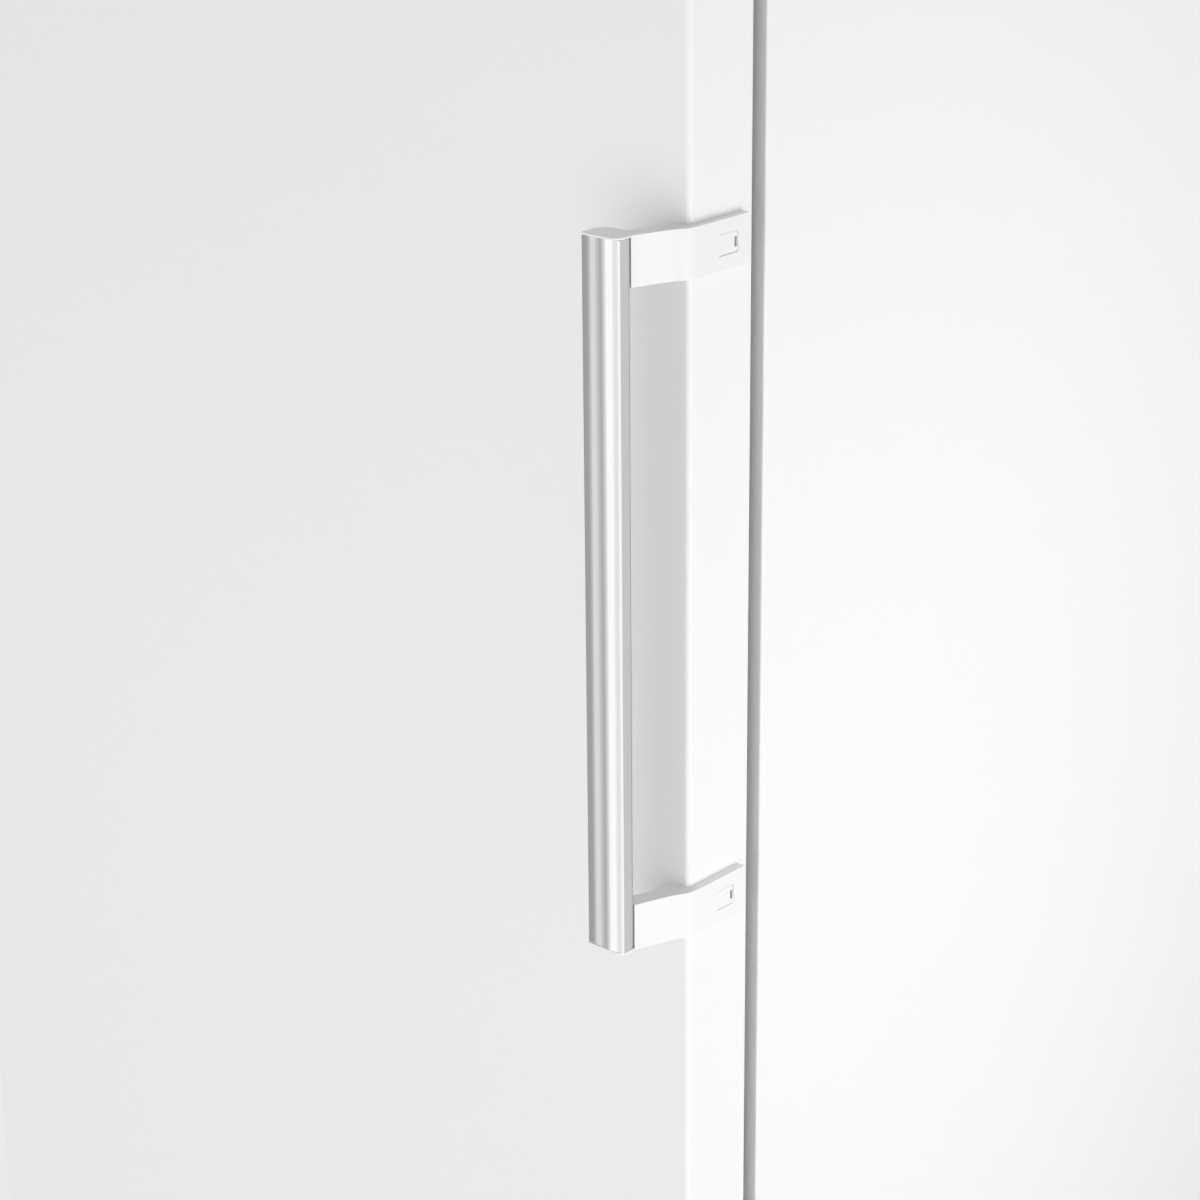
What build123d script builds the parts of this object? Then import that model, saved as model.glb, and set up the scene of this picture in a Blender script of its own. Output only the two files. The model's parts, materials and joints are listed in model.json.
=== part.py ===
from build123d import *
import os
from math import cos, radians, sin

# A tall single door refrigerator, in millimetres.
# X runs to the right as seen from the front, Y runs back to the wall, Z runs up.
# The origin is on the floor, in the middle of the whole thing with its handle.

os.makedirs("parts", exist_ok=True)

# Driving sizes
WIDTH = 600.0
DEPTH = 650.0  # from the door's face to the wall
HEIGHT = 1860.0  # to the top of the hinge cover
DOOR_T = 47.9
SEAL_GAP = 10.2  # between the door and the cabinet
WALL_GAP = 28.0  # between the back panel and the wall
HANDLE_TOP = 1200.0
HANDLE_LENGTH = 372.0
HANDLE_REACH = 43.5  # from the door's face to the front of the bar
PLATE_T = 5.0  # handle plate on the door's side

# Sheets and clearances
STEEL = 0.8
PLASTIC = 2.5
LINER_T = 1.5
SLIP = 0.05  # radial clearance of a turning fit
GAP = 0.3
INSET = 1.0  # of inner sheets from the side panels
THROUGH = 1.0  # how far a cutter runs past a face

# Heights
BASE_Z = 24.0
FLOOR_PANEL_Z = 66.0
DOOR_Z = 70.0
DOOR_TOP = 1838.0
CABINET_TOP = 1842.0
CAP_H = 14.0
ROOM_Z = 118.0
ROOM_TOP = 1792.0
STEP_Z = 306.0
NICHE_TOP = 262.0
LID_H = 20.0  # top panel

# The frame's planes
X_MID = -PLATE_T / 2
X_LEFT = X_MID - WIDTH / 2
X_RIGHT = X_MID + WIDTH / 2
Y_DOOR = HANDLE_REACH - (DEPTH + HANDLE_REACH) / 2
Y_DOOR_BACK = Y_DOOR + DOOR_T
Y_CABINET = Y_DOOR_BACK + SEAL_GAP
Y_WALL = Y_DOOR + DEPTH
Y_BACK = Y_WALL - WALL_GAP
Y_ROOM_BACK = Y_BACK - 50.0
Y_STEP = Y_BACK - 245.0
Y_NICHE = Y_BACK - 200.0
ROOM_HALF = 250.0

# Hinge line of the door
X_PIN = X_LEFT + 13.0
Y_PIN = Y_DOOR + 22.0
PIN_R = 4.0
BUSH_R = 7.0
BUSH_RIM = 1.2


def slab(x, y, z, mode=Mode.ADD):
    """A box between two x, two y and two z positions."""
    with Locations(((x[0] + x[1]) / 2, (y[0] + y[1]) / 2, (z[0] + z[1]) / 2)):
        Box(x[1] - x[0], y[1] - y[0], z[1] - z[0], mode=mode)


def rod(start, direction, radius, length, mode=Mode.ADD):
    """A round bar from a point along a direction."""
    with BuildSketch(Plane(origin=start, z_dir=direction)) as end_face:
        Circle(radius)
    extrude(end_face.sketch, amount=length, mode=mode)


def wall_pair(inset, thickness):
    """The x limits of a left and a right wall at the same inset from the cabinet's sides."""
    left = (X_LEFT + inset, X_LEFT + inset + thickness)
    return left, (X_RIGHT - inset - thickness, X_RIGHT - inset)


# Side panels: one bent sheet each, with a flange at the front and at the back
FLANGE = 20.0
BACK_FLANGE = 15.0
BEND_R = 1.2
PANEL_TOP = CABINET_TOP - LID_H

with BuildPart() as side_panel_right:
    with BuildSketch(Plane.XY.offset(BASE_Z)):
        with BuildLine():
            sheet_line = FilletPolyline(
                (X_RIGHT - FLANGE, Y_CABINET),
                (X_RIGHT, Y_CABINET),
                (X_RIGHT, Y_BACK - STEEL),
                (X_RIGHT - BACK_FLANGE, Y_BACK - STEEL),
                radius=BEND_R,
            )
            offset(sheet_line, amount=STEEL, side=Side.LEFT)
        make_face()
    extrude(amount=PANEL_TOP - BASE_Z)
side_panel_right.part.label = "side_panel_right"
export_step(side_panel_right.part, "parts/side_panel_right.step")

with BuildPart() as side_panel_left:
    mirror(side_panel_right.part, about=Plane.YZ.offset(X_MID))
side_panel_left.part.label = "side_panel_left"
export_step(side_panel_left.part, "parts/side_panel_left.step")

# Top panel: a moulded lid over the foam, with the holes of the hinge screws
LID_WALL = 2.0
LID_EDGE_R = 4.0
SCREW_R = 2.4
HINGE_SCREWS = [
    (X_LEFT + 26.0, Y_CABINET + 22.0),
    (X_LEFT + 60.0, Y_CABINET + 22.0),
    (X_LEFT + 26.0, Y_CABINET + 52.0),
]
HINGE_SCREW_LENGTH = 12.0

with BuildPart() as top_panel:
    slab((X_LEFT, X_RIGHT), (Y_CABINET, Y_BACK), (PANEL_TOP, CABINET_TOP))
    fillet(top_panel.edges().group_by(Axis.Z)[-1], radius=LID_EDGE_R)
    offset(amount=-LID_WALL, openings=top_panel.faces().sort_by(Axis.Z)[0])
    with Locations([(x, y, CABINET_TOP) for x, y in HINGE_SCREWS]):
        Cylinder(SCREW_R + SLIP, 4 * LID_WALL, mode=Mode.SUBTRACT)
top_panel.part.label = "top_panel"
export_step(top_panel.part, "parts/top_panel.step")

# Back panel
with BuildPart() as back_panel:
    slab((X_LEFT + INSET, X_RIGHT - INSET), (Y_BACK - STEEL, Y_BACK), (NICHE_TOP + 2 * STEEL, PANEL_TOP))
back_panel.part.label = "back_panel"
export_step(back_panel.part, "parts/back_panel.step")

# Underbody panel: the bent sheet under the foam, which also lines the compressor niche
SUCTION_X = X_MID + 150.0
SUCTION_Y = Y_BACK - 12.0
LINE_R = 4.0
CAPILLARY_X = X_MID - 150.0
DRIER_Y = Y_BACK - 28.0
CAPILLARY_R = 1.2
UNDER_Y = (Y_CABINET + 3.0, Y_BACK - 4.0)
UNDER_BEND_R = 6.0

with BuildPart() as underbody_panel:
    with BuildSketch(Plane.YZ.offset(X_LEFT + INSET)):
        with BuildLine():
            under_line = FilletPolyline(
                (UNDER_Y[0], FLOOR_PANEL_Z),
                (Y_NICHE, FLOOR_PANEL_Z),
                (Y_NICHE, NICHE_TOP),
                (UNDER_Y[1], NICHE_TOP),
                radius=UNDER_BEND_R,
            )
            offset(under_line, amount=STEEL, side=Side.LEFT)
        make_face()
    extrude(amount=WIDTH - 2 * INSET)
    with Locations((SUCTION_X, SUCTION_Y, NICHE_TOP)):
        Cylinder(LINE_R + GAP, 4 * STEEL, mode=Mode.SUBTRACT)
    with Locations((CAPILLARY_X, DRIER_Y, NICHE_TOP)):
        Cylinder(CAPILLARY_R + GAP, 4 * STEEL, mode=Mode.SUBTRACT)
underbody_panel.part.label = "underbody_panel"
export_step(underbody_panel.part, "parts/underbody_panel.step")

# Base frame: two side rails, a front rail and the compressor tray, welded together
RAIL_T = 1.5
RAIL_W = 30.0
RAIL_FRONT = Y_CABINET + 2.0
RAIL_BACK = Y_BACK - 5.0
FRONT_PLATE_BACK = Y_CABINET + 70.0
FOOT_X = 235.0
FOOT_Y = Y_CABINET + 36.0
STUD_R = 5.0
NUT_R = 9.0
NUT_H = 10.0
TRAY_FRONT = Y_BACK - 190.0
TRAY_BACK = Y_BACK - 12.0
TRAY_RIM_H = 12.0
ROLLER_X = 262.0
ROLLER_Y = Y_BACK - 30.0
ROLLER_R = 11.5
ROLLER_W = 14.0
ROLLER_PLAY = 1.0
AXLE_R = 3.0
EAR_T = 2.5
EAR_HALF = 9.0
EAR_DROP = 6.0
COMPRESSOR_X = X_MID + 20.0
COMPRESSOR_Y = Y_BACK - 100.0
MOUNT_X = 84.0
MOUNT_Y = 52.0
BOLT_R = 3.0

with BuildPart() as base_frame:
    rail_z = (BASE_Z, FLOOR_PANEL_Z - GAP)
    plate_z = (BASE_Z, BASE_Z + RAIL_T)
    for outer, inner in zip(wall_pair(INSET, RAIL_T), wall_pair(INSET, RAIL_W)):
        slab(outer, (RAIL_FRONT, RAIL_BACK), rail_z)
        slab(inner, (RAIL_FRONT, RAIL_BACK), plate_z)
        slab(inner, (RAIL_FRONT, Y_NICHE - UNDER_BEND_R), (rail_z[1] - RAIL_T, rail_z[1]))
    span = (X_LEFT + INSET, X_RIGHT - INSET)
    slab(span, (RAIL_FRONT, RAIL_FRONT + RAIL_T), rail_z)
    slab(span, (RAIL_FRONT, FRONT_PLATE_BACK), plate_z)
    slab(span, (TRAY_FRONT, TRAY_BACK), plate_z)
    slab(span, (TRAY_FRONT, TRAY_FRONT + RAIL_T), (BASE_Z, BASE_Z + TRAY_RIM_H))
    slab(span, (TRAY_BACK - RAIL_T, TRAY_BACK), (BASE_Z, BASE_Z + TRAY_RIM_H))
    for s in (-1, 1):
        rod((X_MID + s * FOOT_X, FOOT_Y, BASE_Z), (0, 0, 1), NUT_R, RAIL_T + NUT_H)
        low_end = (X_MID + s * FOOT_X, FOOT_Y, BASE_Z - THROUGH)
        rod(low_end, (0, 0, 1), STUD_R + SLIP, RAIL_T + NUT_H + 2 * THROUGH, mode=Mode.SUBTRACT)
        for e in (-1, 1):
            ear = X_MID + s * ROLLER_X + e * (ROLLER_W / 2 + ROLLER_PLAY + EAR_T / 2)
            slab(
                (ear - EAR_T / 2, ear + EAR_T / 2),
                (ROLLER_Y - EAR_HALF, ROLLER_Y + EAR_HALF),
                (ROLLER_R - EAR_DROP, BASE_Z + RAIL_T),
            )
    rod((span[0], ROLLER_Y, ROLLER_R), (1, 0, 0), AXLE_R + SLIP, WIDTH, mode=Mode.SUBTRACT)
    with Locations((COMPRESSOR_X, COMPRESSOR_Y, BASE_Z)):
        with GridLocations(2 * MOUNT_X, 2 * MOUNT_Y, 2, 2):
            Cylinder(BOLT_R + SLIP, 4 * RAIL_T, mode=Mode.SUBTRACT)
base_frame.part.label = "base_frame"
export_step(base_frame.part, "parts/base_frame.step")


# Inner liner: the moulded food room, with a step over the compressor and ledges for the shelves
ROOM_CORNER_R = 12.0
LEDGE_W = 8.0
LEDGE_H = 7.0
SHELF_FRONT = Y_DOOR + 172.0
CRISPER_FRONT = Y_DOOR + 106.0
SHELF_LEDGE_Y = SHELF_FRONT + 14.0
CRISPER_LEDGE_Y = CRISPER_FRONT + 14.0
SHELF_T = 4.0
CRISPER_SHELF_Z = 312.0
SHELF_Z = [600.0, 870.0, 1140.0, 1420.0]
LINER_FLANGE = 29.5


def food_room(grow):
    """The food room as a solid, grown outwards by the wall's thickness, with rounded edges."""
    with BuildPart() as room:
        with BuildSketch(Plane.YZ.offset(X_MID - ROOM_HALF - grow)):
            with BuildLine():
                Polyline(
                    (Y_CABINET, ROOM_Z - grow),
                    (Y_STEP + grow, ROOM_Z - grow),
                    (Y_STEP + grow, STEP_Z - grow),
                    (Y_ROOM_BACK + grow, STEP_Z - grow),
                    (Y_ROOM_BACK + grow, ROOM_TOP + grow),
                    (Y_CABINET, ROOM_TOP + grow),
                    close=True,
                )
            make_face()
        extrude(amount=2 * (ROOM_HALF + grow))
        behind_mouth = room.edges().filter_by(lambda edge: edge.center().Y > Y_CABINET + 1)
        fillet(behind_mouth, radius=ROOM_CORNER_R)
    return room.part


with BuildPart() as inner_liner:
    add(food_room(LINER_T))
    slab(
        (X_MID - ROOM_HALF - LINER_FLANGE, X_MID + ROOM_HALF + LINER_FLANGE),
        (Y_CABINET, Y_CABINET + LINER_T),
        (FLOOR_PANEL_Z + 2 * STEEL, ROOM_TOP + LINER_FLANGE),
    )
    add(food_room(0), mode=Mode.SUBTRACT)
    for top in [CRISPER_SHELF_Z, *SHELF_Z]:
        crisper = top == CRISPER_SHELF_Z
        ledge_y = (CRISPER_LEDGE_Y, Y_STEP) if crisper else (SHELF_LEDGE_Y, Y_ROOM_BACK)
        for s in (-1, 1):
            wall = sorted((X_MID + s * (ROOM_HALF - LEDGE_W), X_MID + s * ROOM_HALF))
            ledge_z = (top - SHELF_T - LEDGE_H, top - SHELF_T)
            slab(wall, (ledge_y[0], ledge_y[1] - ROOM_CORNER_R), ledge_z)
inner_liner.part.label = "inner_liner"
export_step(inner_liner.part, "parts/inner_liner.step")

# Cabinet foam, between the liner and the steel
FOAM_INSET = 3.0
CORNER_RELIEF = 8.0  # along the bend of the underbody panel

with BuildPart() as cabinet_foam:
    slab(
        (X_LEFT + FOAM_INSET, X_RIGHT - FOAM_INSET),
        (Y_CABINET + FOAM_INSET, Y_BACK - FOAM_INSET),
        (FLOOR_PANEL_Z + STEEL + GAP, CABINET_TOP - LID_WALL - HINGE_SCREW_LENGTH),
    )
    slab(
        (X_LEFT, X_RIGHT),
        (Y_NICHE - STEEL - GAP, Y_BACK),
        (FLOOR_PANEL_Z, NICHE_TOP + STEEL + GAP),
        mode=Mode.SUBTRACT,
    )
    slab(
        (X_LEFT, X_RIGHT),
        (Y_NICHE - CORNER_RELIEF, Y_NICHE),
        (FLOOR_PANEL_Z, FLOOR_PANEL_Z + CORNER_RELIEF),
        mode=Mode.SUBTRACT,
    )
    add(food_room(LINER_T + SLIP), mode=Mode.SUBTRACT)
cabinet_foam.part.label = "cabinet_foam"
export_step(cabinet_foam.part, "parts/cabinet_foam.step")

# Plinth grille: a shallow tray set back under the door, with upright air slots and a
# tongue that reaches back to the base frame
PLINTH_FACE = Y_DOOR + 30.0
PLINTH_BACK = Y_CABINET - 7.0
PLINTH_TOP = 60.0
PLINTH_Z = 26.0
PLINTH_X = (X_LEFT + 2.0, X_RIGHT - 2.0)
PLINTH_EDGE_R = 1.5
BRACKET_W = 72.0  # hinge brackets, from the cabinet's side
SLOT_COUNT = 30
SLOT_PITCH = 12.0
SLOT_W = 5.0
SLOT_H = 20.0

with BuildPart() as plinth_grille:
    slab(PLINTH_X, (PLINTH_FACE, PLINTH_BACK), (PLINTH_Z, PLINTH_TOP))
    fillet(plinth_grille.faces().sort_by(Axis.Y)[0].edges(), radius=PLINTH_EDGE_R)
    slab(
        (PLINTH_X[0] + PLASTIC, PLINTH_X[1] - PLASTIC),
        (PLINTH_FACE + PLASTIC, PLINTH_BACK + THROUGH),
        (PLINTH_Z - THROUGH, PLINTH_TOP - PLASTIC),
        mode=Mode.SUBTRACT,
    )
    slab(
        (X_LEFT + BRACKET_W, X_RIGHT - BRACKET_W),
        (PLINTH_FACE + PLASTIC, RAIL_FRONT - SLIP),
        (PLINTH_TOP - PLASTIC, PLINTH_TOP),
    )
    with Locations((X_MID, PLINTH_FACE + PLASTIC / 2, (PLINTH_Z + PLINTH_TOP) / 2)):
        with GridLocations(SLOT_PITCH, 1, SLOT_COUNT, 1):
            Box(SLOT_W, 3 * PLASTIC, SLOT_H, mode=Mode.SUBTRACT)
plinth_grille.part.label = "plinth_grille"
export_step(plinth_grille.part, "parts/plinth_grille.step")

# Hinge brackets: a flat plate on top of the cabinet, an angle under the door
PLATE_STEEL = 3.0
PLATE_R = 5.0
PLATE_FRONT = Y_DOOR + 10.0
PLATE_NOSE_X = X_LEFT + 30.0
PLATE_X = (X_LEFT + 5.0, X_LEFT + BRACKET_W)
TOP_PLATE_BACK = Y_CABINET + 62.0
with BuildPart() as top_hinge_bracket:
    with BuildSketch(Plane.XY.offset(CABINET_TOP)):
        with BuildLine():
            FilletPolyline(
                (PLATE_X[0], PLATE_FRONT),
                (PLATE_NOSE_X, PLATE_FRONT),
                (PLATE_X[1], Y_CABINET + 6),
                (PLATE_X[1], TOP_PLATE_BACK),
                (PLATE_X[0], TOP_PLATE_BACK),
                close=True,
                radius=PLATE_R,
            )
        make_face()
        with Locations((X_PIN, Y_PIN)):
            Circle(PIN_R + SLIP, mode=Mode.SUBTRACT)
        with Locations(HINGE_SCREWS):
            Circle(SCREW_R + SLIP, mode=Mode.SUBTRACT)
    extrude(amount=PLATE_STEEL)
top_hinge_bracket.part.label = "top_hinge_bracket"
export_step(top_hinge_bracket.part, "parts/top_hinge_bracket.step")

FOOT_PLATE_Z = DOOR_Z - 4.0
BRACKET_SCREWS = [(X_LEFT + 28.0, 50.0), (X_LEFT + 60.0, 50.0), (X_LEFT + 44.0, 36.0)]
with BuildPart() as bottom_hinge_bracket:
    with BuildSketch(Plane.XY.offset(FOOT_PLATE_Z - PLATE_STEEL)):
        with BuildLine():
            FilletPolyline(
                (PLATE_X[0], PLATE_FRONT),
                (PLATE_NOSE_X, PLATE_FRONT),
                (PLATE_X[1], Y_CABINET - 8),
                (PLATE_X[1], Y_CABINET),
                (PLATE_X[0], Y_CABINET),
                close=True,
                radius=[PLATE_R, PLATE_R, PLATE_R, 0, 0],
            )
        make_face()
        with Locations((X_PIN, Y_PIN)):
            Circle(PIN_R + SLIP, mode=Mode.SUBTRACT)
    extrude(amount=PLATE_STEEL)
    slab(PLATE_X, (Y_CABINET - PLATE_STEEL, Y_CABINET), (PLINTH_Z + 2, FOOT_PLATE_Z))
    for x, z in BRACKET_SCREWS:
        rod((x, Y_CABINET, z), (0, -1, 0), SCREW_R + SLIP, PLATE_STEEL, mode=Mode.SUBTRACT)
bottom_hinge_bracket.part.label = "bottom_hinge_bracket"
export_step(bottom_hinge_bracket.part, "parts/bottom_hinge_bracket.step")

# Hinge pins, with a collar against each bracket and a shoulder that carries the door
PIN_INTO_DOOR = 13.5
COLLAR_R = 7.5
COLLAR_H = 1.5
with BuildPart() as hinge_pins:
    upper_pin = CABINET_TOP + PLATE_STEEL - DOOR_TOP + PIN_INTO_DOOR
    rod((X_PIN, Y_PIN, CABINET_TOP + PLATE_STEEL), (0, 0, -1), PIN_R, upper_pin)
    rod((X_PIN, Y_PIN, CABINET_TOP + PLATE_STEEL), (0, 0, 1), COLLAR_R, COLLAR_H)
    lower_pin = DOOR_Z - FOOT_PLATE_Z + PLATE_STEEL + PIN_INTO_DOOR
    rod((X_PIN, Y_PIN, FOOT_PLATE_Z - PLATE_STEEL), (0, 0, 1), PIN_R, lower_pin)
    rod((X_PIN, Y_PIN, FOOT_PLATE_Z - PLATE_STEEL), (0, 0, -1), COLLAR_R, COLLAR_H)
    shoulder = DOOR_Z - BUSH_RIM - FOOT_PLATE_Z - SLIP
    rod((X_PIN, Y_PIN, FOOT_PLATE_Z), (0, 0, 1), COLLAR_R, shoulder)
hinge_pins.part.label = "hinge_pins"
export_step(hinge_pins.part, "parts/hinge_pins.step")

# Cover over the top hinge
COVER_WALL = 1.8
COVER_X = (X_LEFT + 1.5, X_LEFT + 86.0)
COVER_Y = (Y_DOOR + 5.0, Y_CABINET + 74.0)
COVER_CORNER_R = 9.0
COVER_EDGE_R = 4.0
with BuildPart() as top_hinge_cover:
    slab(COVER_X, COVER_Y, (CABINET_TOP, HEIGHT))
    fillet(top_hinge_cover.edges().filter_by(Axis.Z), radius=COVER_CORNER_R)
    fillet(top_hinge_cover.edges().group_by(Axis.Z)[-1], radius=COVER_EDGE_R)
    offset(amount=-COVER_WALL, openings=top_hinge_cover.faces().sort_by(Axis.Z)[0])
top_hinge_cover.part.label = "top_hinge_cover"
export_step(top_hinge_cover.part, "parts/top_hinge_cover.step")

# Compressor: a domed steel shell with a weld rim, on a foot plate with rubber grommets
GROMMET_H = 12.0
GROMMET_R = 11.0
SHELL_R = 74.0
SHELL_Z = BASE_Z + RAIL_T + GROMMET_H
SHELL_H = 162.0
SHELL_FALL = 14.0  # of the dome, from its crown to its shoulder
SHELL_BENDS = [26.0, 44.0]
WELD_Z = SHELL_Z + 82.0
WELD_R = SHELL_R + 4.0
WELD_H = 5.0
FOOT_T = 3.0
FOOT_EDGE = 15.0  # from a mount's axis to the foot plate's edge

with BuildPart() as compressor:
    shell_plane = Plane(origin=(COMPRESSOR_X, COMPRESSOR_Y, SHELL_Z), x_dir=(1, 0, 0), z_dir=(0, -1, 0))
    with BuildSketch(shell_plane):
        with BuildLine():
            FilletPolyline(
                (0, FOOT_T),
                (SHELL_R, FOOT_T),
                (SHELL_R, SHELL_H - SHELL_FALL),
                (0, SHELL_H),
                radius=SHELL_BENDS,
            )
            Line((0, SHELL_H), (0, FOOT_T))
        make_face()
    revolve(axis=Axis((COMPRESSOR_X, COMPRESSOR_Y, SHELL_Z), (0, 0, 1)))
    with Locations((COMPRESSOR_X, COMPRESSOR_Y, WELD_Z)):
        Cylinder(WELD_R, WELD_H)
    with Locations((COMPRESSOR_X, COMPRESSOR_Y, SHELL_Z + FOOT_T / 2)):
        Box(2 * (MOUNT_X + FOOT_EDGE), 2 * (MOUNT_Y + FOOT_EDGE), FOOT_T)
        with GridLocations(2 * MOUNT_X, 2 * MOUNT_Y, 2, 2):
            Cylinder(BOLT_R + SLIP, 4 * FOOT_T, mode=Mode.SUBTRACT)
compressor.part.label = "compressor"
export_step(compressor.part, "parts/compressor.step")

with BuildPart() as compressor_grommets:
    with Locations((COMPRESSOR_X, COMPRESSOR_Y, BASE_Z + RAIL_T + GROMMET_H / 2)):
        with GridLocations(2 * MOUNT_X, 2 * MOUNT_Y, 2, 2):
            Cylinder(GROMMET_R, GROMMET_H)
            Cylinder(BOLT_R + SLIP, GROMMET_H, mode=Mode.SUBTRACT)
compressor_grommets.part.label = "compressor_grommets"
export_step(compressor_grommets.part, "parts/compressor_grommets.step")

# Screws of both hinge brackets and bolts of the compressor
HEAD_R = 4.6
HEAD_H = 2.6
BOLT_HEAD_R = 7.0
BOLT_HEAD_H = 4.0
with BuildPart() as cabinet_screws:
    for x, y in HINGE_SCREWS:
        top = CABINET_TOP + PLATE_STEEL
        rod((x, y, top), (0, 0, -1), SCREW_R, HINGE_SCREW_LENGTH)
        rod((x, y, top), (0, 0, 1), HEAD_R, HEAD_H)
    for x, z in BRACKET_SCREWS:
        rod((x, Y_CABINET - PLATE_STEEL, z), (0, 1, 0), SCREW_R, PLATE_STEEL)
        rod((x, Y_CABINET - PLATE_STEEL, z), (0, -1, 0), HEAD_R, HEAD_H)
    head_z = SHELL_Z + FOOT_T
    for s in (-1, 1):
        for e in (-1, 1):
            mount = (COMPRESSOR_X + s * MOUNT_X, COMPRESSOR_Y + e * MOUNT_Y, head_z)
            rod(mount, (0, 0, -1), BOLT_R, head_z - BASE_Z)
            rod(mount, (0, 0, 1), BOLT_HEAD_R, BOLT_HEAD_H)
cabinet_screws.part.label = "cabinet_screws"
export_step(cabinet_screws.part, "parts/cabinet_screws.step")

# Start relay box, clipped to the compressor's flank
RELAY_SIDE = COMPRESSOR_X - WELD_R - GAP
RELAY_W = 32.0
RELAY_HALF = 28.0
RELAY_Z = (SHELL_Z + 24.0, SHELL_Z + 76.0)
RELAY_EDGE_R = 5.0
with BuildPart() as start_relay_box:
    relay_y = (COMPRESSOR_Y - RELAY_HALF, COMPRESSOR_Y + RELAY_HALF)
    slab((RELAY_SIDE - RELAY_W, RELAY_SIDE), relay_y, RELAY_Z)
    fillet(start_relay_box.faces().sort_by(Axis.X)[0].edges(), radius=RELAY_EDGE_R)
start_relay_box.part.label = "start_relay_box"
export_step(start_relay_box.part, "parts/start_relay_box.step")

# Evaporating tray on the compressor
TRAY_Z = SHELL_Z + SHELL_H + SLIP
TRAY_H = 26.0
TRAY_HALF_X = 80.0
TRAY_HALF_Y = 62.0
TRAY_CORNER_R = 16.0
TRAY_WALL = 2.0
with BuildPart() as evaporating_tray:
    slab(
        (COMPRESSOR_X - TRAY_HALF_X, COMPRESSOR_X + TRAY_HALF_X),
        (COMPRESSOR_Y - TRAY_HALF_Y, COMPRESSOR_Y + TRAY_HALF_Y),
        (TRAY_Z, TRAY_Z + TRAY_H),
    )
    fillet(evaporating_tray.edges().filter_by(Axis.Z), radius=TRAY_CORNER_R)
    offset(amount=-TRAY_WALL, openings=evaporating_tray.faces().sort_by(Axis.Z)[-1])
evaporating_tray.part.label = "evaporating_tray"
export_step(evaporating_tray.part, "parts/evaporating_tray.step")

# Condenser: one tube in level runs on the back, up its right side from the compressor
COIL_Y = Y_BACK + 12.0
TUBE_R = 2.5
RUNS = 20
RUN_PITCH = 60.0
COIL_LOW = 400.0
RUN_HALF = 215.0
COIL_BEND_R = RUN_PITCH / 2 - 1
ENTRY_BEND_R = 14.0
DRIER_ENTRY_Z = 244.0
DRIER_TOP = 216.0
RISER_X = X_MID + 240.0
DISCHARGE_Z = SHELL_Z + 60.0
SUCTION_PORT_Z = SHELL_Z + 50.0
DRIER_X = X_MID - RUN_HALF


def coil_points():
    """Corners of the condenser tube: from the compressor up the riser, down the runs, to the drier."""
    points = [
        (COMPRESSOR_X + SHELL_R + SLIP, COMPRESSOR_Y, DISCHARGE_Z),
        (RISER_X, COMPRESSOR_Y, DISCHARGE_Z),
        (RISER_X, COIL_Y, DISCHARGE_Z),
        (RISER_X, COIL_Y, COIL_LOW + RUNS * RUN_PITCH),
    ]
    end = -1
    for run in range(RUNS, -1, -1):
        level = COIL_LOW + run * RUN_PITCH
        if run < RUNS:
            points.append((X_MID - end * RUN_HALF, COIL_Y, level))
        points.append((X_MID + end * RUN_HALF, COIL_Y, level))
        end = -end
    points.append((DRIER_X, COIL_Y, DRIER_ENTRY_Z))
    points.append((DRIER_X, DRIER_Y, DRIER_ENTRY_Z))
    points.append((DRIER_X, DRIER_Y, DRIER_TOP + GAP))
    return points


with BuildPart() as condenser_tube:
    corners = coil_points()
    with BuildLine():
        bends = [COIL_BEND_R] * (len(corners) - 4) + [ENTRY_BEND_R] * 2
        tube_line = FilletPolyline(*corners, radius=bends)
    with BuildSketch(Plane(origin=tube_line @ 0, z_dir=tube_line % 0)):
        Circle(TUBE_R)
    sweep()
condenser_tube.part.label = "condenser_tube"
export_step(condenser_tube.part, "parts/condenser_tube.step")

# Condenser wires, upright behind the tube
WIRE_R = 0.8
WIRES = 30
WIRE_PITCH = 2 * (RUN_HALF - 20.0) / (WIRES - 1)
WIRE_OVERHANG = 15.0
with BuildPart() as condenser_wires:
    with Locations((X_MID, COIL_Y + TUBE_R + WIRE_R + SLIP, COIL_LOW + RUNS * RUN_PITCH / 2)):
        with GridLocations(WIRE_PITCH, 1, WIRES, 1):
            Cylinder(WIRE_R, RUNS * RUN_PITCH + 2 * WIRE_OVERHANG)
condenser_wires.part.label = "condenser_wires"
export_step(condenser_wires.part, "parts/condenser_wires.step")

# Condenser clips, which also keep the distance to the wall
CLIP_W = 26.0
CLIP_H = 40.0
CLIP_EDGE_R = 5.0
CLIP_SHIFT = 6.0  # of a clip's middle outwards from its tube
CLIP_LEVELS = (COIL_LOW + 3.5 * RUN_PITCH, COIL_LOW + 15.5 * RUN_PITCH)
BEND_X = X_MID - RUN_HALF
SLOT_HALF = TUBE_R + GAP
with BuildPart() as condenser_clips:
    for middle in (BEND_X - CLIP_SHIFT, RISER_X + CLIP_SHIFT):
        for level in CLIP_LEVELS:
            slab(
                (middle - CLIP_W / 2, middle + CLIP_W / 2),
                (Y_BACK, Y_WALL),
                (level - CLIP_H / 2, level + CLIP_H / 2),
            )
    fillet(condenser_clips.edges().filter_by(Axis.Y), radius=CLIP_EDGE_R)
    slot_y = (COIL_Y - SLOT_HALF, COIL_Y + SLOT_HALF)
    slab((BEND_X - SLOT_HALF, X_MID), slot_y, (COIL_LOW, HEIGHT), mode=Mode.SUBTRACT)
    slab((X_MID, RISER_X + SLOT_HALF), slot_y, (COIL_LOW, HEIGHT), mode=Mode.SUBTRACT)
condenser_clips.part.label = "condenser_clips"
export_step(condenser_clips.part, "parts/condenser_clips.step")

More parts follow.
